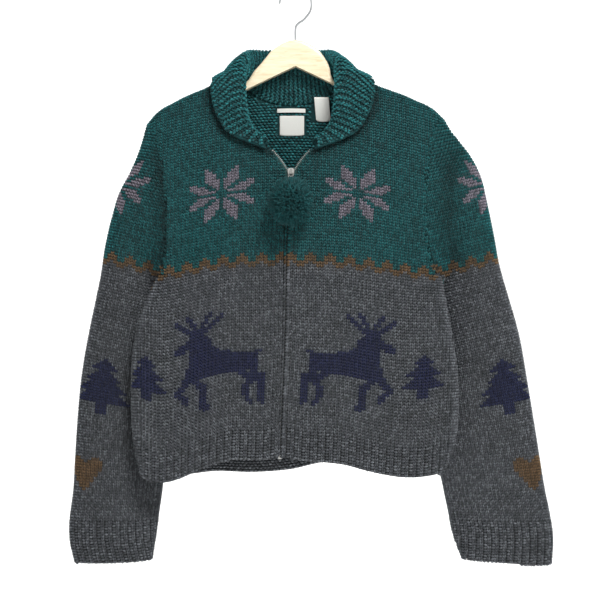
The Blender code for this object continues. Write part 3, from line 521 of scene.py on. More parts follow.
    @classmethod
    def face_grid(cls, side: Side, face: Face) -> Array:
        """Half the front or back: rows from hem to shoulder, columns from middle to side.

        Args:
            side: Right or left.
            face: Front or back.

        Returns:
            The grid of points.
        """
        edge, middle = cls.side_edge(side, face), cls.middle_edge(side, face)
        climb_side = (edge[:, 2] - edge[0, 2]) / (edge[-1, 2] - edge[0, 2])
        climb_middle = (middle[:, 1] - middle[0, 1]) / (middle[-1, 1] - middle[0, 1])
        neck_x = BODY.centre_x + side.sign * BODY.neck_half
        neck_column = mix(mix(BODY.centre_x, edge[0, 0], BODY.neck_share), neck_x, climb_middle)
        columns = [(1, share) for share in BODY.shoulder_steps]
        if face is Face.BACK:
            columns = [(0, share) for share in BODY.back_steps] + columns
        grid = np.zeros((len(edge), len(columns), 3))
        for j, (part, share) in enumerate(columns):
            if part == 0:
                bow = BACK_NECK.at(share, "reach") - BODY.neck_half * share
                xs = mix(BODY.centre_x, neck_column, share) + side.sign * bow * climb_middle**4
                across, top_z = share * BODY.neck_share, BACK_NECK.at(share, "height")
            else:
                xs = mix(neck_column if face is Face.BACK else middle[:, 0], edge[:, 0], share)
                across = mix(BODY.neck_share, 1, share) if face is Face.BACK else share
                top_z = cls.shoulder_height(side, xs[-1])
            climb = mix(climb_middle, climb_side, across)
            zs = middle[:, 1] if j == 0 else mix(HEM[face].at(xs[0], "height"), top_z, climb)
            for i, (x, z) in enumerate(zip(xs, zs)):
                in_armhole = i >= len(BODY.lower_rows)
                depth = abs(edge[i, 1]) if in_armhole else 0.0
                edge_y = 0.0 if in_armhole else edge[i, 1]
                grid[i, j] = x, cls.cloth_y(side, face, x, z, (edge[i, 0], edge_y, depth)), z
            if share == 1.0:
                grid[:, j] = edge
        return grid

    @classmethod
    def sleeve_grid(cls, side: Side) -> Array:
        """A sleeve: rows from armhole to cuff, closed round from its outer edge.

        Args:
            side: Right or left.

        Returns:
            The grid of points.
        """
        front = [math.radians(turn) for turn in BODY.arm_rows[::-1]] + [math.pi]
        angles = front + [2 * math.pi - angle for angle in front[-2::-1]]
        rings = range(len(side.sleeve.keys))
        return np.array([[cls.sleeve_point(side, angle, float(ring)) for angle in angles] for ring in rings])

    @staticmethod
    def key_of(point: Array) -> tuple[int, ...]:
        """A key that neighbours share where they meet."""
        return tuple(int(round(v * 100)) for v in point)

    @classmethod
    def shared_normals(cls, grids: Iterable[tuple[Array, int]]) -> dict:
        """Outward normals at every grid point, summed over all the pieces that meet there.

        Args:
            grids: Each grid, and 1 or -1 for the way that its faces turn.

        Returns:
            The sums, by the points' keys.
        """
        sums: dict = {}
        for grid, flip in grids:
            a, b, c, d = grid[:-1, :-1], grid[1:, 1:], grid[:-1, 1:], grid[1:, :-1]
            faces = unit(np.cross(d - c, b - a)) * flip
            for i, j in np.ndindex(faces.shape[:2]):
                for di, dj in ((0, 0), (1, 0), (0, 1), (1, 1)):
                    key = cls.key_of(grid[i + di, j + dj])
                    sums[key] = sums.get(key, np.zeros(3)) + faces[i, j]
        return sums

    @classmethod
    def edge_shift(cls, grid: Array, line: tuple | int, neighbour: tuple | int) -> Array:
        """How far the points of one edge draw back from its seam.

        Args:
            grid: The piece.
            line: The edge's index.
            neighbour: The index of the line beside it.

        Returns:
            A shift for each point of the edge.
        """
        own = cls.shared_normals([(grid, 1)])
        normals = unit(np.array([own[cls.key_of(point)] for point in grid[line]]))
        back = unit(np.cross(normals, np.gradient(grid[line], axis=0)))
        if (back * (grid[neighbour] - grid[line])).sum() < 0:
            back = -back
        return back * KNIT.seam_gap / 2


@dataclass
class Stitches:
    """Where the stitches of a piece lie, one row for each stitch."""

    place: Array
    across: Array
    up: Array
    out: Array
    wale: Array
    course: Array
    tone: Array | None = None  # painted shade: how light the yarn is painted, 1 where no shade of a fold or of the collar's edge is painted on it

    def __post_init__(self) -> None:
        """Leaves every stitch without painted shade unless a tone is given."""
        if self.tone is None:
            self.tone = np.ones(len(self.place))

    def only(self, chosen: Array) -> Stitches:
        """Gives the chosen stitches alone."""
        return Stitches(*[getattr(self, part.name)[chosen] for part in fields(self)])


class Panel:
    """A knitted piece: its fine surface, and the courses and wales that cross it."""

    def __init__(
        self,
        name: str,
        grid: Array,
        sums: dict,
        level: Callable[[Array], Array],
        middle: int,
        reference: Callable[[Array], Array] | None = None,
        closed: bool = False,
    ) -> None:
        """Refines a grid to cells about as wide as a stitch.

        Args:
            name: The piece's name.
            grid: The inside of its wall, in rows and columns.
            sums: Normals shared with its neighbours.
            level: Gives the course, counted from the hem, of each point of the fine surface.
            middle: The grid's column that the wales are counted from.
            reference: Gives X of the line that the wales are counted from, where middle is cut away.
            closed: Whether the columns go all the way round.
        """
        self.name, self.closed, self.reference = name, closed, reference
        normals = np.array([[unit(sums[Form.key_of(p)]) for p in row] for row in grid])
        both = np.concatenate([grid, normals], axis=2)
        down, wide = self.spread(grid, 0), self.spread(grid, 1)
        rows = self.even(down[-1], KNIT.row_step, KNIT.shell_rows)
        columns = self.even(wide[-1], KNIT.column_step, KNIT.shell_columns)
        both = np.swapaxes(cubic(both, down, rows), 0, 1)
        if closed:
            before, after = wide[-3:-1] - wide[-1], wide[1:3] + wide[-1]
            both = np.concatenate([both[-3:-1], both, both[1:3]])
            wide = np.concatenate([before, wide, after])
            middle += 2
        both = np.swapaxes(cubic(both, wide, columns), 0, 1)
        self.middle = int(np.argmin(abs(columns - wide[middle])))
        self.inside, self.normal = both[..., :3], unit(both[..., 3:])
        self.outside = self.inside + self.normal * KNIT.wall
        self.level = level(self.outside)

    @staticmethod
    def spread(grid: Array, axis: int) -> Array:
        """Mean distance of each row or column from the first."""
        steps = np.linalg.norm(np.diff(grid, axis=axis), axis=2).mean(axis=1 - axis)
        return np.concatenate([[0.0], np.cumsum(steps)])

    @staticmethod
    def even(length: float, step: float, multiple: int) -> Array:
        """Even places along a length, their number of gaps a multiple of some number."""
        gaps = max(round(length / step / multiple), 2) * multiple
        return np.linspace(0, length, gaps + 1)

    def coarse(self) -> tuple[Array, Array]:
        """Rows and columns of the fine surface that the solid wall keeps, closer at the edges.

        Returns:
            The rows' and the columns' numbers.
        """
        rows = np.arange(0, self.inside.shape[0], KNIT.shell_rows)
        columns = np.arange(0, self.inside.shape[1], KNIT.shell_columns)
        rows = np.union1d(rows, [1, self.inside.shape[0] - 2])
        if not self.closed:
            columns = np.union1d(columns, [1, self.inside.shape[1] - 2])
        return rows, columns

    def courses(self) -> Iterable[tuple[int, Array, Array]]:
        """Follows each course across the surface.

        Yields:
            The course's number, its places as fractional rows at each column, and the valid columns.
        """
        rising = self.level[-1].mean() > self.level[0].mean()
        levels = self.level if rising else self.level[::-1]
        levels = np.maximum.accumulate(levels + np.arange(len(levels))[:, None] * 1e-6, axis=0)
        count = len(levels) - 1
        for course in range(int(np.floor(levels.min())), int(np.ceil(levels.max())) + 1):
            at = course + 0.5
            valid = (levels[0] <= at) & (levels[-1] >= at)
            if valid.sum() < 2:
                continue
            place = np.array([np.interp(at, column, np.arange(count + 1)) for column in levels.T])
            yield course, place if rising else count - place, valid

    def sample(self, grid: Array, rows: Array, columns: Array) -> Array:
        """Reads a fine grid between its points.

        Args:
            grid: The grid.
            rows: Fractional rows.
            columns: Fractional columns, as many.

        Returns:
            A row of numbers for each place.
        """
        i = np.clip(rows.astype(int), 0, grid.shape[0] - 2)
        j = np.clip(columns.astype(int), 0, grid.shape[1] - 2)
        u, v = (rows - i)[:, None], (columns - j)[:, None]
        return mix(mix(grid[i, j], grid[i + 1, j], u), mix(grid[i, j + 1], grid[i + 1, j + 1], u), v)

    def stitches(self, inner: bool = False) -> Stitches:
        """Lays the stitches out at the knitting's gauge.

        Args:
            inner: Whether they lie on the inside of the wall.
        Returns:
            The stitches' places and directions.
        """
        surface = self.inside if inner else self.outside
        found: list[tuple] = []
        for course, rows, valid in self.courses():
            columns = np.flatnonzero(valid)
            for run in np.split(columns, np.flatnonzero(np.diff(columns) > 1) + 1):
                if len(run) < 2:
                    continue
                line = self.sample(self.outside, rows[run], run.astype(float))
                near = int(np.argmin(abs(run - self.middle)))
                gone = travelled(line)
                gone = gone - gone[near]
                if self.reference is not None:
                    rightward = 1.0 if line[-1, 0] > line[0, 0] else -1.0
                    start = self.reference(line[near : near + 1, 2])[0]
                    gone = gone + (line[near, 0] - start) * rightward
                first = math.ceil(gone[0] / KNIT.wale - 0.5)
                last = math.floor(gone[-1] / KNIT.wale - 0.5)
                if last < first:
                    continue
                wales, steps = np.arange(first, last + 1), np.arange(len(run))
                at = np.interp((wales + 0.5) * KNIT.wale, gone, steps)
                ahead, here, behind = (
                    (np.interp(at + nudge, steps, rows[run]), run[0] + at + nudge) for nudge in (0.1, 0, -0.1)
                )
                place, out = self.sample(surface, *here), unit(self.sample(self.normal, *here))
                across = unit(self.sample(self.outside, *ahead) - self.sample(self.outside, *behind))
                across = unit(across - out * (across * out).sum(axis=1, keepdims=True))
                up = np.cross(out, across)
                flip = np.sign(up[:, 2:3] + 1e-9)
                up, across = up * flip, across * flip
                found.append((place, across, up, out, wales, np.full(len(wales), course)))
        laid = Stitches(*[np.concatenate(parts) for parts in zip(*found)])
        return laid if inner else self.filled(laid)

    def filled(self, laid: Stitches, bare: float = 3.8) -> Stitches:
        """Adds stitches where the courses run out, as beside a curved seam.

        Args:
            laid: The stitches of the whole courses.
            bare: How far from any stitch a place must be to get its own, in millimetres.

        Returns:
            All the stitches.
        """
        tree = tree_of(laid.place)
        added: list[tuple] = []
        points = np.empty((0, 3))
        rows, columns = self.outside.shape[:2]
        for i in range(rows):
            for j in range(1, columns - 1):
                place = self.outside[i, j]
                _, near, gap = tree.find(place)
                if gap < bare or (len(points) and np.linalg.norm(points - place, axis=1).min() < bare):
                    continue
                out = self.normal[i, j]
                up = unit(laid.up[near] - out * (laid.up[near] @ out))
                added.append((place, np.cross(up, out), up, out, laid.wale[near], laid.course[near]))
                points = np.vstack([points, place])
        if not added:
            return laid
        log.info("%s: %d stitches fill its edges", self.name, len(added))
        extra = [np.array(part) for part in zip(*added)]
        old = (laid.place, laid.across, laid.up, laid.out, laid.wale, laid.course)
        return Stitches(*[np.concatenate(pair) for pair in zip(old, extra)])


# ---------------------------------------------------------------- charts


def mirrored(half: str | tuple) -> str | tuple:
    """Adds the mirror image of a half, which ends in the middle."""
    return half + half[-2::-1]


STAR = mirrored(tuple(mirrored(half) for half in (
    "....#....",
    "....##...",
    "....###..",
    "....###..",
    "....####.",
    "##...###.",
    "####..##.",
    ".####..#.",
    "..#####..",
    ".........",
)))
HEART = tuple(mirrored(half) for half in (
    ".##..",
    "####.",
    "#####",
    "#####",
    "#####",
    ".####",
    ".####",
    "..###",
    "..###",
    "...##",
    "...##",
    "....#",
))
REINDEER = (
    ".....#.....#..............",
    "..#..##...##..#...........",
    "..##..#...#..##...........",
    "...##.##.##.##............",
    "....##.#.#.##.............",
    ".....#######..............",
    "......#####...............",
    "......####................",
    ".....######...............",
    "...#########..............",
    "..##########..............",
    "..###.######..............",
    "......#######.............",
    "......########............",
    "......###########......##.",
    "......##################..",
    "......##################..",
    ".....###################..",
    ".....###################..",
    ".....###################..",
    "....####################..",
    "....#################.##..",
    "...###.##..........#######",
    "..###...##..........######",
    "..##....###..........#####",
    "...##....##..........##.##",
    "....##...##.........##..##",
    "....##...##.........##..##",
    ".....#...##.........##..##",
    ".........##.........##..##",
    ".........##..........#..##",
    ".........###.........##.##",
    "..........##..........#..#",
)


def fir_tree(tiers: tuple[int, ...], trunk: int) -> tuple[str, ...]:
    """Charts a fir tree.

    Args:
        tiers: Half the width of each tier of branches at its foot, from the top.
        trunk: Rows of bare trunk.

    Returns:
        The chart's rows.
    """
    width = 2 * max(tiers) + 1
    halves = [half for foot in tiers for half in range(max(foot - 3, 0), foot + 1)] + [1] * trunk
    return tuple(f"{'#' * (2 * half + 1):.^{width}}" for half in halves)


FLAKE = ("..#..", "#.#.#", ".###.", "#####", ".###.", "#.#.#", "..#..")


@dataclass(frozen=True)
class Motif:
    """A charted picture and where its middle lies, in wales and courses."""

    chart: tuple[str, ...]
    yarn: Yarn
    wale: float
    course: float
    mirrored: bool = False

    def covers(self, wale: Array, course: Array) -> Array:
        """Whether each stitch belongs to the picture.

        Args:
            wale: The stitches' wales.
            course: Their courses.

        Returns:
            True or false for each.
        """
        rows = np.array([[mark == "#" for mark in row] for row in self.chart])
        rows = rows[:, ::-1] if self.mirrored else rows
        j = np.floor(wale - self.wale + rows.shape[1] / 2).astype(int)
        i = np.floor(self.course - course + rows.shape[0] / 2).astype(int)
        inside = (i >= 0) & (i < rows.shape[0]) & (j >= 0) & (j < rows.shape[1])
        return inside & rows[np.clip(i, 0, rows.shape[0] - 1), np.clip(j, 0, rows.shape[1] - 1)]


@dataclass(frozen=True)
class Pattern:
    """The colour plan of one piece."""

    band: float  # the course of the zigzag's low points
    motifs: tuple[Motif, ...]
    phase: int = 0
    repeat: int = 5  # wales from one tooth to the next
    rise: int = 2  # courses that a tooth climbs
    brown: int = 2  # courses of brown at the low points

    def yarns(self, wale: Array, course: Array) -> Array:
        """Gives the yarn's number for each stitch.

        Args:
            wale: The stitches' wales.
            course: Their courses.

        Returns:
            The numbers, one for each.
        """
        tooth = self.rise - abs((wale + self.phase) % self.repeat - self.repeat // 2)
        above = course - self.band - tooth
        below = np.where(above >= 0, Yarn.BROWN.value, Yarn.GREY.value)
        yarn = np.where(above >= self.brown + (tooth > 0), Yarn.GREEN.value, below)
        for motif in self.motifs:
            yarn = np.where(motif.covers(wale, course), motif.yarn.value, yarn)
        return yarn


# ---------------------------------------------------------------- colours and finishes


def linear(code: str) -> Array:
    """Turns an sRGB hex colour into linear light."""
    value = np.array([int(code[i : i + 2], 16) for i in (1, 3, 5)]) / 255
    return np.where(value <= 0.04045, value / 12.92, ((value + 0.055) / 1.055) ** 2.4)


# Each yarn's shades: the stitches pick among them, which gives the heather of hand-dyed wool.
SHADES = {
    Yarn.GREEN: ("#185052", "#1f6063", "#143f42", "#266c6e"),
    Yarn.GREY: ("#505358", "#666a6f", "#434649", "#767a7f", "#4d5054"),
    Yarn.BROWN: ("#665039", "#775f45", "#554432", "#6e5840"),
    Yarn.LAVENDER: ("#7d7782", "#8d8792", "#6b6671", "#85808a"),
    Yarn.NAVY: ("#232946", "#2a3052", "#1d213b", "#2d324f"),
}


CARDED = 0.35  # how far each shade is blended into the yarn's mean


def shades_of(yarns: Array, seed: int) -> Array:
    """Picks a shade for each stitch's leg.

    Args:
        yarns: The yarn's number for each.
        seed: Fixes the choice.

    Returns:
        Linear colours, three numbers each.
    """
    rng = np.random.default_rng(seed)
    colours = np.zeros((len(yarns), 3))
    for yarn, codes in SHADES.items():
        here = yarns == yarn.value
        table = np.array([linear(code) for code in codes])
        pick = table[rng.integers(0, len(codes), here.sum())]
        colours[here] = mix(pick, table.mean(axis=0), CARDED)
    return colours * rng.uniform(0.88, 1.12, (len(yarns), 1))


def green_shades(count: int, seed: int) -> Array:
    """Picks shades of the green yarn."""
    return shades_of(np.full(count, Yarn.GREEN.value), seed)


def add_node(
    tree: Nodes, kind: str, settings: dict | None = None, links: dict | None = None
) -> bpy.types.Node:
    """Adds one shader node.

    Args:
        tree: The material's node tree.
        kind: The node's type.
        settings: Values for its properties, or for its sockets by name or number.
        links: Output sockets to join to its inputs, by name or number.

    Returns:
        The node.
    """
    node = tree.nodes.new(kind)
    for key, value in (settings or {}).items():
        if isinstance(key, str) and hasattr(node, key):
            setattr(node, key, value)
        else:
            node.inputs[key].default_value = value
    for key, output in (links or {}).items():
        tree.links.new(output, node.inputs[key])
    return node


def blank_material(name: str, values: dict) -> tuple[bpy.types.Material, Nodes, bpy.types.Node, Socket]:
    """Makes a material with only a Principled shader.

    Args:
        name: The material's name.
        values: What the shader's sockets are set to.

    Returns:
        The material, its node tree, its shader and the object's coordinates.
    """
    material = bpy.data.materials.new(name)
    material.use_nodes = True
    tree = material.node_tree
    shader = tree.nodes["Principled BSDF"]
    for key, value in values.items():
        shader.inputs[key].default_value = value
    return material, tree, shader, add_node(tree, "ShaderNodeTexCoord").outputs["Object"]


@dataclass(frozen=True)
class WoolFinish:
    """Carded wool yarn: matte, flecked, with twisted fibres along each stitch's own square of the texture."""

    name: str
    sheen: float = 0.05
    fibre_mm: float = 0.9  # coarser than real fibres, so that they show
    bump: float = 0.5

    def make(self) -> bpy.types.Material:
        """Builds the material, coloured by the mesh's own yarn attribute.

        Returns:
            The material.
        """
        values = {"Roughness": 0.92, "Specular IOR Level": 0.25}
        values |= {"Sheen Weight": self.sheen, "Sheen Roughness": 0.45}
        material, tree, shader, place = blank_material(self.name, values)
        colour = add_node(tree, "ShaderNodeAttribute", {"attribute_name": "yarn"})
        cells = add_node(tree, "ShaderNodeUVMap", {"uv_map": "OFBake"})
        twist = {"vector_type": "TEXTURE", "Rotation": (0.0, 0.0, 0.45), "Scale": (1 / 130, 1 / 800, 1.0)}
        twisted = add_node(tree, "ShaderNodeMapping", twist, {"Vector": cells.outputs[0]})
        fibre_scale = 1000 / self.fibre_mm / 1.6
        fibres, clouds, plies = (
            add_node(tree, "ShaderNodeTexNoise", settings, {"Vector": vector}).outputs["Fac"]
            for settings, vector in (
                ({"Scale": fibre_scale, "Detail": 3.0, "Roughness": 0.65}, place),
                ({"Scale": 45.0, "Detail": 2.0}, place),
                ({"Scale": 1.0, "Detail": 2.0, "Roughness": 0.6}, twisted.outputs[0]),
            )
        )
        # Fibres fleck the yarn, clouds let it drift from place to place, and plies streak each stitch.
        light = None
        for value, low, high in ((fibres, 0.68, 1.32), (clouds, 0.9, 1.1), (plies, 0.7, 1.3)):
            settings = {"From Min": 0.3, "From Max": 0.7, "To Min": low, "To Max": high}
            part = add_node(tree, "ShaderNodeMapRange", settings, {"Value": value}).outputs[0]
            if light is not None:
                links = {0: light, 1: part}
                part = add_node(tree, "ShaderNodeMath", {"operation": "MULTIPLY"}, links).outputs[0]
            light = part
        sources = {0: colour.outputs["Color"], "Scale": light}
        tinted = add_node(tree, "ShaderNodeVectorMath", {"operation": "SCALE"}, sources)
        height = add_node(tree, "ShaderNodeMath", {"operation": "ADD"}, {0: fibres, 1: plies}).outputs[0]
        bump = {"Strength": self.bump, "Distance": 0.0005}
        relief = add_node(tree, "ShaderNodeBump", bump, {"Height": height})
        tree.links.new(tinted.outputs[0], shader.inputs["Base Color"])
        tree.links.new(relief.outputs[0], shader.inputs["Normal"])
        return material


@dataclass(frozen=True)
class MetalFinish:
    """Plated or polished metal with a faint tumbled texture."""

    name: str
    colour: str
    roughness: float
    grain_mm: float = 0.6

    def make(self) -> bpy.types.Material:
        """Builds the material.

        Returns:
            The material.
        """
        values = {"Base Color": (*linear(self.colour), 1.0), "Metallic": 1.0}
        material, tree, shader, place = blank_material(self.name, values)
        fine = {"Scale": 1000 / self.grain_mm / 2, "Detail": 2.0}
        grain = add_node(tree, "ShaderNodeTexNoise", fine, {"Vector": place})
        spread = {"To Min": self.roughness * 0.75, "To Max": self.roughness * 1.3}
        rough = add_node(tree, "ShaderNodeMapRange", spread, {"Value": grain.outputs["Fac"]})
        tree.links.new(rough.outputs[0], shader.inputs["Roughness"])
        return material


@dataclass(frozen=True)
class WoodFinish:
    """Light beech under clear varnish: long grain with short darker flecks."""

    name: str = "varnished_beech"
    pale: str = "#efe2c6"
    dark: str = "#dcc69c"

    def make(self) -> bpy.types.Material:
        """Builds the material, its grain along X.

        Returns:
            The material.
        """
        values = {"Roughness": 0.42, "Coat Weight": 0.3, "Coat Roughness": 0.2}
        material, tree, shader, place = blank_material(self.name, values)
        long = add_node(tree, "ShaderNodeMapping", {"Scale": (0.07, 1.0, 1.0)}, {"Vector": place}).outputs[0]
        rings, flecks = (
            add_node(tree, "ShaderNodeTexNoise", settings, {"Vector": long}).outputs["Fac"]
            for settings in (
                {"Scale": 260.0, "Detail": 4.0, "Roughness": 0.6, "Distortion": 0.4},
                {"Scale": 1100.0, "Detail": 1.0},
            )
        )
        few = {"From Min": 0.6, "From Max": 0.72, "To Min": 0.0, "To Max": 0.35}
        spots = add_node(tree, "ShaderNodeMapRange", few, {"Value": flecks}).outputs[0]
        share = add_node(tree, "ShaderNodeMath", {"operation": "ADD"}, {0: rings, 1: spots}).outputs[0]
        ramp = add_node(tree, "ShaderNodeValToRGB", {}, {0: share})
        for element, at, colour in zip(ramp.color_ramp.elements, (0.35, 0.8), (self.pale, self.dark)):
            element.position, element.color = at, (*linear(colour), 1.0)
        relief = add_node(tree, "ShaderNodeBump", {"Strength": 0.08, "Distance": 0.0004}, {"Height": rings})
        tree.links.new(ramp.outputs[0], shader.inputs["Base Color"])
        tree.links.new(relief.outputs[0], shader.inputs["Normal"])
        return material


@dataclass(frozen=True)
class WovenFinish:
    """Plain woven cotton or polyester tape, its threads along X and Z."""

    name: str
    colour: str
    thread_mm: float = 0.9  # coarser than the real thread, so that it shows

    def make(self) -> bpy.types.Material:
        """Builds the material from two crossed sets of threads.

        Returns:
            The material.
        """
        values = {"Roughness": 0.85, "Sheen Weight": 0.15}
        material, tree, shader, place = blank_material(self.name, values)
        threads, scale = [], 100 * math.pi / self.thread_mm
        for direction in ("X", "Z"):
            settings = {"bands_direction": direction, "Scale": scale, "Distortion": 0.3}
            threads.append(add_node(tree, "ShaderNodeTexWave", settings, {"Vector": place}).outputs["Fac"])
        links = {0: threads[0], 1: threads[1]}
        weave = add_node(tree, "ShaderNodeMath", {"operation": "MAXIMUM"}, links).outputs[0]
        ramp = add_node(tree, "ShaderNodeValToRGB", {}, {0: weave})
        for element, light in zip(ramp.color_ramp.elements, (0.72, 1.0)):
            element.color = (*(linear(self.colour) * light), 1.0)
        relief = add_node(tree, "ShaderNodeBump", {"Strength": 0.4, "Distance": 0.0002}, {"Height": weave})
        tree.links.new(ramp.outputs[0], shader.inputs["Base Color"])
        tree.links.new(relief.outputs[0], shader.inputs["Normal"])
        return material


# ---------------------------------------------------------------- meshes


def tint_points(mesh: bpy.types.Mesh, colours: Array) -> None:
    """Keeps a linear colour for each vertex as the attribute "yarn"."""
    layer = mesh.color_attributes.new("yarn", "FLOAT_COLOR", "POINT")
    opaque = np.column_stack([colours, np.ones(len(colours))])
    layer.data.foreach_set("color", opaque.astype(np.float32).ravel())


def mesh_object(
    name: str,
    points: Array,
    faces: Array,
    material: bpy.types.Material,
    colours: Array | None = None,
    layout: Array | None = None,
) -> bpy.types.Object:
    """Makes an object from arrays.

    Args:
        name: The piece's name.
        points: Its vertices in millimetres.
        faces: Rows of three or four vertex numbers.
        material: Its finish.
        colours: A linear colour for each vertex, kept as the attribute "yarn".
        layout: A place on the unit square for each vertex, kept as the UV map "OFBake".

    Returns:
        The object, at the origin and smooth.
    """
    mesh = bpy.data.meshes.new(name)
    count, size = faces.shape
    mesh.vertices.add(len(points))
    mesh.vertices.foreach_set("co", np.ascontiguousarray(points * MM, dtype=np.float32).ravel())
    mesh.loops.add(count * size)
    mesh.loops.foreach_set("vertex_index", np.ascontiguousarray(faces, dtype=np.int32).ravel())
    mesh.polygons.add(count)
    mesh.polygons.foreach_set("loop_start", np.arange(0, count * size, size, dtype=np.int32))
    mesh.update(calc_edges=True)
    mesh.shade_smooth()
    if colours is not None:
        tint_points(mesh, colours)
    if layout is not None:
        uv = mesh.uv_layers.new(name="OFBake", do_init=False)
        uv.uv.foreach_set("vector", layout[faces.ravel()].astype(np.float32).ravel())
    mesh.materials.append(material)
    obj = bpy.data.objects.new(name, mesh)
    bpy.context.scene.collection.objects.link(obj)
    return obj


# A short length of yarn as it shows between two loops: pointed at its foot, blunt at its top, closed below.
# Each corner is given along, across and out, in shares of the length, width and height; GRAIN_PAINTED_SHADE
# paints its shade.
GRAIN_CORNERS = np.array([
    (-0.50, 0.00, -0.30),
    (0.04, 0.50, -0.14),
    (0.47, 0.25, -0.22),
    (0.47, -0.25, -0.22),
    (0.04, -0.50, -0.14),
    (-0.12, 0.00, 0.40),
    (0.24, 0.00, 0.50),
])
# Painted shade on each corner: the foot and sides darker, as the gaps between stitches, and the top lighter,
# where light falls.
GRAIN_PAINTED_SHADE = np.array([0.5, 0.66, 0.6, 0.6, 0.66, 1.04, 1.14])
GRAIN_SIDE = np.array([0.0, 1.0, 0.8, -0.8, -1.0, 0.0, 0.0])  # which side of the grain each corner is on
GAP_SHADE = 0.6  # how much darker the side in the gap between two wales is painted, as shade, and how much lighter the other, as painted light
LIT_SHADE = 0.3
GRAIN_CELL = 0.94  # how much of its square of the texture a grain takes
GRAIN_FACES = np.array([
    (0, 4, 1), (1, 4, 3), (1, 3, 2),  # below, first, so that the baked upper faces cover them
    (0, 1, 5), (0, 5, 4), (1, 2, 6), (1, 6, 5), (4, 5, 6), (4, 6, 3), (2, 3, 6),
])


@dataclass
class Grains:
    """Short rounded lengths of yarn, collected and then made as one mesh."""

    centre: list = field(default_factory=list)
    along: list = field(default_factory=list)
    out: list = field(default_factory=list)
    size: list = field(default_factory=list)
    colour: list = field(default_factory=list)
    shaded: list = field(default_factory=list)

    def add(
        self, centre: Array, along: Array, out: Array, size: Sequence[float], colour: Array, seed: int,
        shaded_side: float = 0.0,
    ) -> None:
        """Adds many grains at once.

        Args:
            centre: Their middles.
            along: Their long direction.
            out: Their upper side.
            size: Length, width and height.
            colour: Their linear colours.
            seed: Fixes the small unevenness of handwork.
            shaded_side: 1 or -1 for grains with one side in the gap between two wales, which is painted
                darker as shade.
        """
        rng = np.random.default_rng(seed)
        count = len(centre)
        sizes = np.array(size) * rng.uniform(0.9, 1.1, (count, 3))
        along_by, aside_by, turned_by = (rng.normal(0, spread, (count, 1)) for spread in (0.16, 0.14, 0.07))
        side = unit(np.cross(along, out))
        self.shaded.append(np.full(count, shaded_side))
        self.centre.append(centre + along * along_by + side * aside_by)
        self.along.append(unit(along + side * turned_by))
        self.out.append(out)
        self.size.append(sizes)
        self.colour.append(colour)

    def make(self, name: str, material: bpy.types.Material) -> bpy.types.Object:
        """Joins all the grains into one object, each with its own square of the texture.

        Args:
            name: The piece's name.
            material: Its finish.

        Returns:
            The object.
        """
        centre, along, out, size, colour = (
            np.concatenate(part) for part in (self.centre, self.along, self.out, self.size, self.colour)
        )
        side = unit(np.cross(along, out))
        axes = np.stack([along, side, out], axis=1) * size[:, :, None]
        corners = centre[:, None] + np.einsum("ck,nkd->ncd", GRAIN_CORNERS, axes)
        count = len(GRAIN_CORNERS)
        faces = (np.arange(len(centre))[:, None, None] * count + GRAIN_FACES[None]).reshape(-1, 3)
        # Painted shade: each corner is darkened or lightened by GRAIN_PAINTED_SHADE, and the side in a gap is
        # darker still.
        sided = GRAIN_SIDE[None, :] * np.concatenate(self.shaded)[:, None]
        shade = np.where(sided > 0, GAP_SHADE, LIT_SHADE)
        tone = GRAIN_PAINTED_SHADE[None, :] * (1 - shade * sided)
        shaded = colour[:, None, :] * tone[:, :, None]
        cells = math.ceil(math.sqrt(len(centre)))
        cell = np.stack(np.divmod(np.arange(len(centre)), cells), axis=1)[:, None, :]
        layout = (cell + 0.5 + GRAIN_CORNERS[None, :, :2] * GRAIN_CELL) / cells
        return mesh_object(
            name, corners.reshape(-1, 3), faces, material, shaded.reshape(-1, 3), layout.reshape(-1, 2)
        )


def face_outwards(obj: bpy.types.Object, fill: bool = False) -> bpy.types.Object:
    """Turns an object's faces outwards.

    Args:
        obj: The object.
        fill: Whether its open ends are closed first.

    Returns:
        The same object.
    """
    mesh = bmesh.new()
    mesh.from_mesh(obj.data)
    if fill:
        bmesh.ops.holes_fill(mesh, edges=[edge for edge in mesh.edges if edge.is_boundary], sides=0)
    bmesh.ops.recalc_face_normals(mesh, faces=mesh.faces[:])
    mesh.to_mesh(obj.data)
    mesh.free()
    return obj


def wall_object(
    name: str, outer: Array, inner: Array, material: bpy.types.Material, closed: bool, colours: Array
) -> bpy.types.Object:
    """Makes a closed wall between two fine grids.

    Args:
        name: The piece's name.
        outer: The outer grid, in rows and columns.
        inner: The inner grid.
        material: Its finish.
        closed: Whether the last column is the first again.
        colours: A colour for each point of the grid.

    Returns:
        The object.
    """
    if closed:
        outer, inner, colours = outer[:, :-1], inner[:, :-1], colours[:, :-1]
    rows, columns = outer.shape[:2]
    behind = rows * columns
    index = np.arange(behind).reshape(rows, columns)
    wrap = np.concatenate([index, index[:, :1]], axis=1) if closed else index
    face = np.stack([wrap[:-1, :-1], wrap[:-1, 1:], wrap[1:, 1:], wrap[1:, :-1]], axis=-1).reshape(-1, 4)
    quads = [face, face[:, ::-1] + behind]
    rims = [(wrap[0], -1), (wrap[-1], 1)] + ([] if closed else [(wrap[:, 0], 1), (wrap[:, -1], -1)])
    for line, turn in rims:
        rim = np.stack([line[:-1], line[1:], line[1:] + behind, line[:-1] + behind], axis=-1)
        quads.append(rim[:, ::turn])
    points = np.concatenate([outer.reshape(-1, 3), inner.reshape(-1, 3)])
    shades = np.concatenate([colours.reshape(-1, 3)] * 2)
    return face_outwards(mesh_object(name, points, np.concatenate(quads), material, shades))


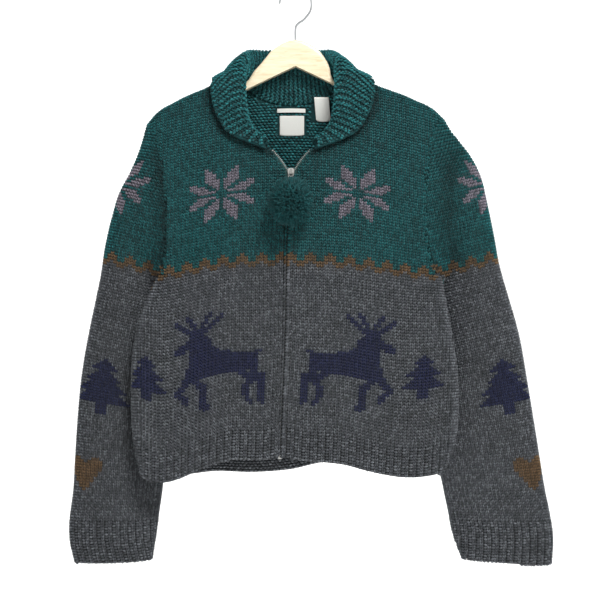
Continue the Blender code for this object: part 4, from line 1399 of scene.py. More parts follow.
def tube_mesh(points: Array, radius: float | Array, sides: int, closed: bool = False) -> tuple[Array, Array]:
    """Points and faces of a round tube along a line.

    Args:
        points: The line.
        radius: One radius, or one for each point.
        sides: Corners of its section.
        closed: Whether the line is a ring.

    Returns:
        The vertices and the quads, without ends.
    """
    count = len(points)
    ahead, behind = np.roll(points, -1, axis=0), np.roll(points, 1, axis=0)
    if not closed:
        ahead[-1], behind[0] = points[-1], points[0]
    along = unit(ahead - behind)
    first = np.zeros_like(points)
    guide = unit(np.cross(along[0], [0.3, 0.9, 0.2]))
    for k in range(count):
        guide = unit(guide - along[k] * (guide @ along[k]))
        first[k] = guide
    second = np.cross(along, first)
    turn = np.linspace(0, 2 * math.pi, sides, endpoint=False)
    radius = np.broadcast_to(radius, (count,))[:, None, None]
    ring = first[:, None] * np.cos(turn)[None, :, None] + second[:, None] * np.sin(turn)[None, :, None]
    verts = (points[:, None] + ring * radius).reshape(-1, 3)
    index = np.arange(count * sides).reshape(count, sides)
    if closed:
        index = np.concatenate([index, index[:1]])
    a, b = index[:-1], np.roll(index[:-1], -1, axis=1)
    c, d = np.roll(index[1:], -1, axis=1), index[1:]
    return verts, np.stack([a, b, c, d], axis=-1).reshape(-1, 4)

# ---------------------------------------------------------------- the knitted pieces


@dataclass
class Knitter:
    """Makes each knitted piece: a solid wall, and its stitches in rounded lengths of yarn."""

    wool: bpy.types.Material
    ground: bpy.types.Material
    leg: tuple[float, float, float] = (6.2, 2.8, 3.3)  # length, width and height of one leg
    rib_leg: tuple[float, float, float] = (6.2, 3.2, 4.4)
    leg_lift: float = -0.8  # of a leg's middle over the wall's outside
    rib_lift: float = -0.9
    purl_lift: float = 0.1
    purl_shade: float = 1.02
    leg_lean: float = 0.38
    leg_aside: float = 0.218  # from the wale's middle, as a share of its width
    bump_lean: float = 0.22
    ground_shade: float = 0.3  # the wall shows only as shadow between the stitches
    edge_thins: float = 1.2  # how much thinner the wall is at its edges, and over what width
    edge_width: float = 3.0

    def legs(self, grains: Grains, s: Stitches, yarns: Array, seed: int, rib: bool) -> None:
        """Adds the two legs of each knit stitch, which lean together at its foot.

        Args:
            grains: Takes them.
            s: The stitches.
            yarns: Their yarns' numbers.
            seed: Fixes their unevenness.
            rib: Whether they stand in a rib.
        """
        size, lift = (self.rib_leg, self.rib_lift) if rib else (self.leg, self.leg_lift)
        for leg in (-1, 1):
            along = unit(s.up + leg * s.across * self.leg_lean)
            centre = s.place + s.across * leg * KNIT.wale * self.leg_aside + s.out * lift
            colour = shades_of(yarns, seed + leg) * s.tone[:, None]
            facing = float(np.sign((np.cross(along, s.out) * s.across).sum())) or 1.0
            grains.add(centre, along, s.out, size, colour, seed + 10 + leg, leg * facing)

    def bumps(
        self, grains: Grains, s: Stitches, yarns: Array, seed: int, lift: float, shade: float,
        size: Sequence[float] = (6.4, 3.8, 3.0),
    ) -> None:
        """Adds the bump of each purl stitch, lying across the cloth.

        Args:
            grains: Takes them.
            s: The stitches.
            yarns: Their yarns' numbers.
            seed: Fixes their unevenness.
            lift: How far they stand off the wall.
            shade: How light they are.
            size: Length, width and height of one bump.
        """
        lean = np.where((s.wale + s.course) % 2 == 0, self.bump_lean, -self.bump_lean)[:, None]
        along = unit(s.across + s.up * lean)
        colour = shades_of(yarns, seed) * shade * s.tone[:, None]
        grains.add(s.place + s.out * lift, along, s.out, size, colour, seed + 20)

    def wall(self, panel: Panel, stitches: Stitches, yarns: Array, seed: int) -> bpy.types.Object:
        """Makes the solid wall under the stitches, coloured by the nearest stitch.

        Args:
            panel: The piece's surface.
            stitches: Its stitches.
            yarns: Their yarns' numbers.
            seed: Fixes its shades.

        Returns:
            The wall.
        """
        tree = tree_of(stitches.place)
        kept = np.ix_(*panel.coarse())
        inside, normal, outside = panel.inside[kept], panel.normal[kept], panel.outside[kept]
        near = np.array([tree.find(point)[1] for point in outside.reshape(-1, 3)])
        colours = shades_of(yarns[near], seed) * self.ground_shade * stitches.tone[near, None]
        edge = np.full(outside.shape[:2], 99.0)
        for axis, ends in ((0, (0, -1)), (1, () if panel.closed else (0, -1))):
            steps = np.cumsum(np.linalg.norm(np.diff(outside, axis=axis), axis=2), axis=axis)
            gone = np.concatenate([np.zeros_like(np.take(steps, [0], axis=axis)), steps], axis=axis)
            for end in ends:
                edge = np.minimum(edge, gone if end == 0 else np.take(gone, [-1], axis=axis) - gone)
        thick = KNIT.shell - self.edge_thins * np.exp(-((edge / self.edge_width) ** 2))
        outer = inside + normal * thick[..., None]
        colours = colours.reshape(*outer.shape)
        return wall_object(f"{panel.name}_cloth", outer, inside, self.ground, panel.closed, colours)

    def knit(
        self, panel: Panel, pattern: Pattern, rib_rows: int, seed: int,
        tone: Callable[[Array], Array] | None = None,
    ) -> list[bpy.types.Object]:
        """Makes one piece of stockinette with a ribbed edge.

        Args:
            panel: Its surface.
            pattern: Its colours.
            rib_rows: Courses of ribbing from the bottom edge.
            seed: Fixes its unevenness.
            tone: Gives how light the yarn is painted at each place, as painted shade.

        Returns:
            The wall, the stitches of the upper part and those of the lower part.
        """
        s = panel.stitches()
        if tone is not None:
            s.tone = tone(s.place)
        yarns = pattern.yarns(s.wale, s.course)
        upper, ribbed, knit = s.course >= pattern.band, s.course < rib_rows, s.wale % 2 == 0
        pieces = [self.wall(panel, s, yarns, seed + 80)]
        for part, here in (("upper", upper), ("lower", ~upper)):
            grains = Grains()
            plain, rib, purl = here & ~ribbed, here & ribbed & knit, here & ribbed & ~knit
            self.legs(grains, s.only(plain), yarns[plain], seed, False)
            self.legs(grains, s.only(rib), yarns[rib], seed + 40, True)
            self.bumps(grains, s.only(purl), yarns[purl], seed + 60, self.purl_lift, self.purl_shade)
            pieces.append(grains.make(f"{panel.name}_{part}_stitches", self.wool))
        return pieces


def register(piece: bpy.types.Object, body: str, nodes: Sequence[str] = ()) -> None:
    """Rides a piece on its body, and hides the CAD nodes that it stands for.

    Args:
        piece: The piece.
        body: Its body.
        nodes: The CAD nodes that it replaces.
    """
    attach(piece, body)
    if nodes:
        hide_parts(*nodes)
    log.info("%s: %d faces on %s", piece.name, len(piece.data.polygons), body)


@dataclass
class Cardigan:
    """The knitted garment: fronts, back, sleeves and collar."""

    knitter: Knitter
    base_z: float = -697.0  # the hem at the zip, where the courses are counted from
    cuff_z: float = -857.0
    sag: float = 0.27  # how far the upper courses drop 20 mm away from the middle, growing with the square
    sleeve_slope: float = 0.24  # how the courses of a sleeve slant towards the body
    collar_shade: float = 0.62  # painted shadow: how much darker the fronts are painted at the collar's edge
    collar_reach: float = 9.5  # and how far from it

    def __post_init__(self) -> None:
        """Works out the shared surfaces."""
        self.fronts = {side: Form.face_grid(side, Face.FRONT) for side in SIDES}
        halves = {side: Form.face_grid(side, Face.BACK) for side in SIDES}
        self.back = np.concatenate([halves[RIGHT][:, ::-1], halves[LEFT][:, 1:]], axis=1)
        self.sleeves = {side: Form.sleeve_grid(side) for side in SIDES}
        flips = [(self.fronts[RIGHT], 1), (self.fronts[LEFT], -1), (self.back, 1)]
        flips += [(self.sleeves[RIGHT], 1), (self.sleeves[LEFT], -1)]
        self.sums = Form.shared_normals(flips)

    def body_level(self, face: Face) -> Callable[[Array], Array]:
        """Courses of the body: they follow the hem below and sag towards the armholes above.

        Args:
            face: Front or back.

        Returns:
            The function that gives the course at each point.
        """
        hem = HEM[face]
        middle = hem.at(-24 if face is Face.FRONT else BODY.centre_x, "height")

        def level(points: Array) -> Array:
            """Gives the course at each point."""
            x, z = points[..., 0], points[..., 2]
            low = (hem.at(x.ravel(), "height").reshape(x.shape) - middle) * (1 - climb(z, -720, 420))
            away = x - BODY.centre_x
            sag = -self.sag * away**2 / 400 * climb(z, -600, 350)
            return (z - low - sag - middle) / KNIT.course

        return level

    def sleeve_level(self, side: Side) -> Callable[[Array], Array]:
        """Courses of a sleeve, square to its length.

        Args:
            side: Right or left.

        Returns:
            The function that gives the course at each point, counted from the cuff.
        """
        rings = side.sleeve.keys
        outer_x = np.array([side.sleeve.at(r, "outer_x") for r in rings])
        outer_z = np.array([side.sleeve.at(r, "outer_z") for r in rings])

        def level(points: Array) -> Array:
            """Gives the course at each point, counted from the cuff."""
            x, z = points[..., 0], points[..., 2]
            edge = np.interp(-z, -outer_z, outer_x)
            inward = np.clip((edge - x) * side.sign, 0, None)
            slope = self.sleeve_slope * climb(z, -840, 330)
            return (z + inward * slope - self.cuff_z) / KNIT.course

        return level

    def zip_line(self, side: Side) -> Callable[[Array], Array]:
        """X of the front edge as if the zip were closed to the top.

        Args:
            side: Right or left.

        Returns:
            The function that gives X at each height.
        """

        def line(z: Array) -> Array:
            """Gives X at each height."""
            low = np.minimum(z, -300.0)
            return ZIP.at(low, "x") + side.sign * ZIP.at(low, "gap")

        return line

    def build(self) -> None:
        """Makes the body and sleeves."""
        small_tree = Motif(fir_tree((2, 4, 5), 3), Yarn.NAVY, 35, 32)
        front = (Motif(STAR, Yarn.LAVENDER, 16, 91.5), Motif(REINDEER, Yarn.NAVY, 17, 35, True), small_tree)
        pattern, tone = Pattern(KNIT.yoke, front, 2), self.collar_tone()
        for side in SIDES:
            name, level = f"front_{side.name}", self.body_level(Face.FRONT)
            panel = Panel(name, self.fronts[side], self.sums, level, 0, self.zip_line(side))
            pieces = self.knitter.knit(panel, pattern, KNIT.hem_rows, 100 + side.sign, tone)
            self.declare(pieces, name)
        self.build_back(small_tree)
        for side in SIDES:
            self.build_sleeve(side)

    def build_back(self, small_tree: Motif) -> None:
        """Makes the back, whose middle has the same tree as the fronts.

        Args:
            small_tree: The fronts' tree.
        """
        middle, level = self.back.shape[1] // 2, self.body_level(Face.BACK)

        def centre(heights: Array) -> Array:
            """Gives X of the back's middle at each height."""
            return np.full(len(heights), BODY.centre_x)

        panel = Panel("back", self.back, self.sums, level, middle, centre)
        motifs = [Motif(STAR, Yarn.LAVENDER, wale, 91.5) for wale in (-17, 17)]
        motifs += [Motif(REINDEER, Yarn.NAVY, -19, 35), Motif(REINDEER, Yarn.NAVY, 19, 35, True)]
        pattern = Pattern(KNIT.yoke, (*motifs, replace(small_tree, wale=0)))
        self.declare(self.knitter.knit(panel, pattern, KNIT.hem_rows, 300), "back")
        self.inside_of_back(panel)

    def build_sleeve(self, side: Side) -> None:
        """Makes one sleeve, its seam turned to the inner edge.

        Args:
            side: Right or left.
        """
        grid = self.sleeves[side][:, :-1]
        half = grid.shape[1] // 2
        grid = np.roll(grid, half, axis=1)
        grid = np.concatenate([grid, grid[:, :1]], axis=1)
        name, level = f"sleeve_{side.name}", self.sleeve_level(side)
        panel = Panel(name, grid, self.sums, level, half, closed=True)
        motifs = (
            Motif(STAR, Yarn.LAVENDER, 0, 133),
            Motif(fir_tree((3, 4, 6, 7), 4), Yarn.NAVY, 7, 63),
            Motif(FLAKE, Yarn.NAVY, -7, 70),
            Motif(FLAKE, Yarn.NAVY, -7, 56),
            Motif(HEART, Yarn.BROWN, 4, 31),
        )
        pattern, tone = Pattern(KNIT.sleeve_yoke, motifs, 3), self.fold_painted_shade(side)
        pieces = self.knitter.knit(panel, pattern, KNIT.cuff_rows, 500 + side.sign, tone)
        self.declare(pieces, name)

    def collar_tone(self) -> Callable[[Array], Array]:
        """Paints a shadow into the fronts' yarn just under the collar's edge, which stands further off than
        its wall shows.

        Returns:
            The function that gives how light the yarn is painted at each place.
        """
        edge = ShawlCollar(self, self.knitter).surface(131)[0][:, -1][:, [0, 2]]

        def tone(places: Array) -> Array:
            """Gives how light the painted shadow leaves the yarn at each place."""
            return 1 - self.collar_shade * np.exp(-((gap_to(edge, places) / self.collar_reach) ** 2))

        return tone

    @staticmethod
    def fold_painted_shade(side: Side) -> Callable[[Array], Array]:
        """Paints shade on a sleeve's front beside the armhole, a valley on the right and a soft band on the
        left, and paints the whole right sleeve a tenth darker, away from the key light.

        Args:
            side: Right or left.

        Returns:
            The function that gives how light the yarn is painted at each place.
        """
        edge = Form.side_edge(side, Face.FRONT)[len(BODY.lower_rows) - 2 :]
        gone = travelled(edge)
        seam = read_rows(edge, gone, np.linspace(0, gone[-1], 120))[:, [0, 2]]
        # Painted shade: how deep, how far out from the seam and how wide the dark band is, and how light the
        # whole sleeve is painted.
        depth, away, wide, level = (0.55, 0.0, 16.0, 0.9) if side is RIGHT else (0.42, 37.0, 14.0, 1.0)

        def tone(places: Array) -> Array:
            """Gives how light the yarn is painted at each place."""
            front, z = ease(-places[:, 1] / 12), places[:, 2]
            window = front * climb(z, -455, 70) * (1 - climb(z, -275, 60))
            return level * (1 - depth * window * np.exp(-(((gap_to(seam, places) - away) / wide) ** 2)))

        return tone

    def declare(self, pieces: list, node: str) -> None:
        """Places a piece and its stitches on the garment, in place of their CAD node.

        Args:
            pieces: The wall, its upper stitches and its lower ones.
            node: The CAD node that they replace.
        """
        for piece in pieces:
            register(piece, "garment", [node])

    def inside_of_back(self, panel: Panel) -> None:
        """Adds the purl bumps that show inside the neck and under the hem.

        Args:
            panel: The back's surface.
        """
        s = panel.stitches(inner=True)
        s.place = s.place + s.across * (s.course % 2 * KNIT.wale / 2)[:, None]
        x, z = s.place[:, 0], s.place[:, 2]
        covered = np.zeros(len(x), bool)
        aside, above = 3.4, 1.6  # half a bump, so that none comes through a label
        for left, right, low, high in Labels.places():
            covered |= (x > left - aside) & (x < right + aside) & (z > low - above) & (z < high + above)
        neck = (z > -350) & (abs(x - BODY.centre_x) < 125) & ~covered
        hem = (z < -650) & (abs(x - BODY.centre_x) < 165)
        s.out = -s.out
        grains, chosen = Grains(), neck | hem
        yarns = np.where(neck, Yarn.GREEN.value, Yarn.GREY.value)[chosen]
        # The bumps are painted half again lighter than the same yarn outside: painted light inside the neck
        # and under the hem.
        self.knitter.bumps(grains, s.only(chosen), yarns, 700, 0.7, 1.5, (7.0, 4.0, 4.0))
        inner = grains.make("back_inside_stitches", self.knitter.wool)
        register(inner, "garment", [])


@dataclass
class FrontEdges:
    """The knitted edges that nearly meet over the zip: a slim rolled edge on the right, knots on the left."""

    garment: Cardigan
    knitter: Knitter
    foot: float = -690.0
    top: float = -297.0
    parting: float = -0.5  # from the zip's middle to each edge
    cord: float = 1.75  # radius of the turned edge that hides the closed teeth
    strand_shade: float = 0.74  # how light the right edge and the left edge's knots are, and the turned edge, painted nearly black as the shadow in the zip's parting
    knot_shade: float = 0.86
    turned_painted_shadow: float = 0.2

    def yarns_at(self, heights: Array) -> Array:
        """Gives the yarn's number of the edge at each height."""
        course = np.round((heights - self.garment.base_z) / KNIT.course).astype(int)
        return Pattern(KNIT.yoke, (), 2).yarns(np.zeros(len(course), int), course)

    def build(self) -> None:
        """Makes both edges."""
        for side, pitch, width, lift in ((RIGHT, 5.6, 4.4, 0.0), (LEFT, 9.6, 7.6, 0.6)):
            heights = np.arange(self.foot, self.top, pitch)
            middle = np.array([ZIP.at(z, "x") + side.sign * (self.parting + width / 2) for z in heights])
            beside = [Form.wall_y(x, z) - KNIT.wall + 1.2 - lift for x, z in zip(middle, heights)]
            centre = np.column_stack([middle, beside, heights])
            up = unit(np.gradient(centre, axis=0))
            out = unit(np.cross(np.array([side.sign, 0.0, 0.0]), up))
            out = out * -np.sign(out[:, 1:2])
            across = unit(np.cross(up, out))
            yarns, grains = self.yarns_at(heights), Grains()
            if side is RIGHT:
                shade = shades_of(yarns, 71) * self.strand_shade
                grains.add(centre, unit(up + across * 0.18), out, (pitch * 1.5, width, 4.0), shade, 72)
            else:
                for row, lean in ((-0.24, 0.3), (0.24, -0.3)):
                    shade = shades_of(yarns, 73 + int(row * 100)) * self.knot_shade
                    place = centre + up * pitch * row
                    grains.add(place, unit(across + up * lean), out, (width, pitch * 0.62, 4.6), shade, 74)
            edge = grains.make(f"front_{side.name}_edge", self.knitter.wool)
            register(edge, "garment", [])
            self.turned_edge(side)

    def turned_edge(self, side: Side) -> None:
        """Makes the plain turned-in edge under the knots, in front of the closed teeth, painted nearly black
        as the shadow in the parting.

        Args:
            side: Right or left.
        """
        heights = np.arange(self.foot, self.top + 1, KNIT.course)
        x = np.array([ZIP.at(z, "x") + side.sign * (self.cord + 0.1) for z in heights])
        y = np.array([Form.wall_y(a, z) - 2.4 for a, z in zip(x, heights)])
        verts, quads = tube_mesh(np.column_stack([x, y, heights]), self.cord, 8)
        shade = shades_of(np.repeat(self.yarns_at(heights), 8), 77) * self.turned_painted_shadow
        caps = [[0, 7, 6, 1], [1, 6, 5, 2], [2, 5, 4, 3]]
        ends = np.array(caps + [[len(verts) - 8 + k for k in cap[::-1]] for cap in caps])
        name, faces = f"front_{side.name}_turned_edge", np.concatenate([quads, ends])
        register(mesh_object(name, verts, faces, self.knitter.ground, shade), "garment", [])


@dataclass
class ShawlCollar:
    """The garter-knitted collar: ridges run from the neck seam over the fold to the outer edge."""

    garment: Cardigan
    knitter: Knitter
    turn: float = 4.0
    clears: float = 12.0
    ridges: int = 65
    per_ridge: int = 4  # stations from one ridge to the next
    stops: tuple[int, int, int] = (9, 8, 12)  # points up the stand, over the fold and down the fall
    knot: float = 5.3  # spacing of the knots along a ridge
    knot_aside: float = 1.15  # how far a ridge's two rows of knots lie from its middle
    valley_knot: float = 4.4
    knot_shade: float = 1.4  # how light the knots on the ridges are painted, lighter where light falls, and those in the valleys, painted darker as shade
    valley_shade: float = 0.65

    def clear_of_body(self, point: Array, gap: float) -> Array:
        """Moves a point that lies too near the body straight out from the cloth.

        Args:
            point: The point.
            gap: How near it may lie.

        Returns:
            The point, moved where needed.
        """
        x, y, z = point
        side = RIGHT if x < BODY.centre_x else LEFT
        top = Form.shoulder_height(side, x)
        if top - z < BODY.top_round:
            middle = np.array([0.0, top - BODY.top_round])
            away = np.array([y, z]) - middle
            reach = max(np.linalg.norm(away), 1e-6)
            if reach < BODY.top_round + gap:
                y, z = middle + away * (BODY.top_round + gap) / reach
        else:
            face = Face.FRONT if y < 0 else Face.BACK
            y = face.value * max(abs(y), abs(Form.wall_y(x, z, face)) + gap)
        return np.array([x, y, z])

    def neckline(self) -> tuple[Array, Array, Array]:
        """Outer and inner points of the neck edge, from the right front round to the left.

        Returns:
            The outer points, the inner points and the ways out over the body's edge.
        """
        count = len(BODY.neck_steps)
        column, beside = (slice(None), 0), (slice(None), 1)
        fronts, back = self.garment.fronts, self.garment.back
        rows = {side: grid[-count:, 0] for side, grid in fronts.items()}
        moved = {side: -Form.edge_shift(grid, column, beside)[-count:] for side, grid in fronts.items()}
        middle, reach = back.shape[1] // 2, len(BODY.back_steps)
        seam = slice(middle - reach + 1, middle + reach)
        edge = np.array([*rows[RIGHT], *back[-1][seam], *rows[LEFT][::-1]])
        away = 2.8 * np.array([*moved[RIGHT], *-Form.edge_shift(back, -1, -2)[seam], *moved[LEFT][::-1]])
        outer = np.array([p + unit(self.garment.sums[Form.key_of(p)]) * KNIT.wall for p in edge])
        return outer + away, edge + away, unit(away)

    def section(self, sign: int, share: float, seam: Array, away: Array) -> Array:
        """Middle line of the collar at a station: up the stand, over the fold and down the fall.

        Args:
            sign: The station's side.
            share: How far it is from the back's middle to the front end.
            seam: Its point of the neck seam.
            away: The way from the body's edge to the collar there.

        Returns:
            The line's points.
        """
        wide, narrow = (1.1, 0.955) if sign > 0 else (1.0, 1.0)
        fold, edge = (
            np.array([COLLAR.at(share, f"{part}_{axis}") for axis in "xyz"]) for part in ("fold", "edge")
        )
        fold[0] *= narrow
        edge[0] = fold[0] + (edge[0] - fold[0]) * wide
        for point in (fold, edge):
            point[0] = BODY.centre_x + sign * point[0]
        radius = COLLAR.at(share, "radius")
        turn = seam + away * self.turn
        crest = unit(unit(fold - turn) + unit(fold - edge))
        across = unit((edge - fold) - crest * ((edge - fold) @ crest))
        inner_shoulder = fold - (across + 0.85 * crest) * radius
        outer_shoulder = fold + (across - 0.85 * crest) * radius
        lift = crest * 0.05 * np.linalg.norm(edge - outer_shoulder)
        points = np.array([
            seam, turn, mix(turn, inner_shoulder, 0.5), inner_shoulder, fold, outer_shoulder,
            mix(outer_shoulder, edge, 0.5) + lift, edge,
        ])
        lengths = travelled(points)
        stand, bend, fall = self.stops
        places = np.concatenate([
            np.linspace(0, lengths[3], stand + 1)[:-1],
            np.linspace(lengths[3], lengths[5], bend + 1)[:-1],
            np.linspace(lengths[5], lengths[7], fall),
        ])
        line = cubic(points, lengths, places)
        for k in range(stand + bend, len(line)):
            line[k] = self.clear_of_body(line[k], self.clears)
        return line

    def surface(self, stations: int) -> tuple[Array, Array, Array, Array]:
        """The collar's middle surface and normals, with the seam's outer and inner points.

        Args:
            stations: How many lines cross it.

        Returns:
            The surface, its normals, and the seam's outer and inner points.
        """
        outer_edge, inner_edge, away = self.neckline()
        lengths = travelled(outer_edge)
        places = np.linspace(0, lengths[-1], stations)
        half = lengths[-1] / 2
        outer, inner, turned = (read_rows(edge, lengths, places) for edge in (outer_edge, inner_edge, away))
        middle = np.array([
            self.section(1 if at > half else -1, min(abs(at - half) / half, 1.0), (o + i) / 2, unit(t))
            for at, o, i, t in zip(places, outer, inner, turned)
        ])
        normal = unit(np.cross(np.gradient(middle, axis=0), np.gradient(middle, axis=1)))
        return middle, normal, outer, inner

    def build(self) -> None:
        """Makes the collar's wall, with its ridges, and the knots of its garter stitches."""
        stations = self.ridges * self.per_ridge + 1
        middle, normal, outer, inner = self.surface(stations)
        wave = 0.5 - 0.5 * np.cos(np.linspace(0, 2 * math.pi * self.ridges, stations))
        half = KNIT.collar_wall / 2
        top = middle + normal * (half - 2.4 + 1.4 * wave[:, None, None])
        under = middle - normal * half
        top[:, 0], under[:, 0] = inner, outer
        green = green_shades(top.shape[0] * top.shape[1], 811).reshape(*top.shape)
        # Painted shade on the wall: darkest in the valleys between the ridges, lighter on the ridges.
        tone = (0.25 + 0.25 * wave)[:, None, None]
        wall = wall_object("collar_cloth", top, under, self.knitter.ground, False, green * tone)
        grains = Grains()
        for ridge in range(self.ridges):
            for row in (0, 1):
                self.knots(grains, middle, normal, ridge, row)
        # The valleys between the ridges, where the knit side of each second row shows.
        for valley in range(1, self.ridges):
            i = valley * self.per_ridge
            line = middle[i] + normal[i] * (half - 1.3)
            gone = travelled(line)
            places = (np.arange(int(gone[-1] / self.valley_knot)) + 0.5) * self.valley_knot
            onward = unit(middle[i + 1] - middle[i - 1])
            centre, out, beside = (read_rows(rows, gone, places) for rows in (line, normal[i], onward))
            colour = green_shades(len(places), 1200 + valley) * self.valley_shade
            grains.add(centre, unit(beside), unit(out), (5.0, 3.4, 2.2), colour, 1300 + valley)
        stitches = grains.make("collar_stitches", self.knitter.wool)
        register(wall, "garment", ["collar"])
        register(stitches, "garment", ["collar"])

    def knots(self, grains: Grains, middle: Array, normal: Array, ridge: int, row: int) -> None:
        """Adds one row of knots along a ridge.

        Args:
            grains: Takes them.
            middle: The collar's middle surface.
            normal: Its normals.
            ridge: The ridge's number.
            row: 0 or 1, for the rows before and behind its middle.
        """
        i, side = ridge * self.per_ridge + self.per_ridge // 2, 1 if row else -1
        line = middle[i] + normal[i] * (KNIT.collar_wall / 2 + 0.35)
        gone = travelled(line)
        places = (np.arange(int(gone[-1] / self.knot)) + 0.35 + 0.5 * row) * self.knot
        places = places[places < gone[-1] - 1.5]
        onward = unit(middle[i + 1] - middle[i - 1])
        centre, out, beside = (read_rows(rows, gone, places) for rows in (line, normal[i], onward))
        out, beside = unit(out), unit(beside)
        pitch = np.interp(places, gone, np.linalg.norm(middle[i + 2] - middle[i - 2], axis=1))
        lean = np.where(np.arange(len(places)) % 2 == 0, 0.2, -0.2)[:, None] * side
        along = unit(unit(np.gradient(centre, axis=0)) + beside * lean)
        colour = green_shades(len(places), 820 + ridge * 2 + row) * self.knot_shade
        long, high = (np.full(len(places), length) for length in (6.4, 3.4))
        size = np.column_stack([long, np.clip(pitch * 0.4, 2.4, 5.2), high])
        place = centre + beside * (self.knot_aside * side) * pitch[:, None] / KNIT.garter
        grains.add(place, along, out, size, colour, 900 + ridge * 2 + row)


# ---------------------------------------------------------------- zip, pull and pompom


@dataclass
class Zip:
    """The separating zip's two tapes and two rows of teeth; the slider and the pull stay as the imported
    solids.
    """

    metal: bpy.types.Material
    cloth: bpy.types.Material
    tape_gap: float = 0.5
    tape_half: float = 0.5
    tape_width: float = 10.0
    tooth_pitch: float = 2.1
    foot: float = -686.0
    top: float = -242.0

    def tape_y(self, x: float, z: float) -> float:
        """Middle of the tapes, which are sewn behind the fronts."""
        return Form.wall_y(x, z) + self.tape_gap + self.tape_half

    def line(self, side: Side, z: float) -> tuple[Array, Array]:
        """The tape's inner edge and its outward direction at a height.

        Args:
            side: Right or left.
            z: The height.

        Returns:
            The point and the direction.
        """
        x = ZIP.at(z, "x") + side.sign * (max(ZIP.at(z, "spread"), 0.0) + 0.2)
        slope = (max(ZIP.at(z + 2, "spread"), 0) - max(ZIP.at(z - 2, "spread"), 0)) / 4
        return np.array([x, self.tape_y(x, z), z]), unit(np.array([side.sign, 0.0, -slope]))

    def build(self) -> None:
        """Makes the tapes and teeth of both sides."""
        for side in SIDES:
            heights = np.linspace(self.foot, self.top, 150)
            edge, out = (np.array(part) for part in zip(*[self.line(side, z) for z in heights]))
            steps = np.linspace(1.6, self.tape_width, 4)
            middle = edge[:, None] + out[:, None] * steps[None, :, None]
            ahead = np.array([0.0, -self.tape_half * 0.8, 0.0])
            plain = np.zeros((*middle.shape[:2], 3))
            tape = wall_object(
                f"zip_tape_{side.name}_cloth", middle + ahead, middle - ahead, self.cloth, False, plain
            )
            teeth = self.teeth(side)
            node = f"zip_tape_{side.name}"
            register(tape, "garment", [node])
            register(teeth, "garment", [node])

    def teeth(self, side: Side) -> bpy.types.Object:
        """Makes one side's teeth: blocks with rounded noses, set half a pitch from the other side's.

        Args:
            side: Right or left.

        Returns:
            The object.
        """
        points, faces = [], []
        z = self.foot + 2 + (self.tooth_pitch / 2 if side is LEFT else 0)
        # How far across each section is, from the nose, and half its thickness.
        profile = ((-0.55, 0.5), (-0.25, 0.85), (0.8, 1.05), (1.8, 1.05))
        while z < self.top - 1:
            place, out = self.line(side, z)
            up = unit(np.cross(out, [0.0, 1.0, 0.0]))
            up = up * np.sign(up[2])
            base = len(points)
            for across, thick in profile:
                tall = 0.58 if across > 0 else 0.48
                for dy, dz in ((-1, -1), (1, -1), (1, 1), (-1, 1)):
                    points.append(place + out * across + np.array([0, dy * thick, 0]) + up * dz * tall)
            for low in range(base, base + 12, 4):
                for c in range(4):
                    n = (c + 1) % 4
                    faces.append((low + c, low + n, low + 4 + n, low + 4 + c))
            faces.append((base + 3, base + 2, base + 1, base))
            faces.append((base + 12, base + 13, base + 14, base + 15))
            z += self.tooth_pitch
        obj = mesh_object(f"zip_teeth_{side.name}", np.array(points), np.array(faces), self.metal)
        face_outwards(obj).data.shade_flat()
        return obj


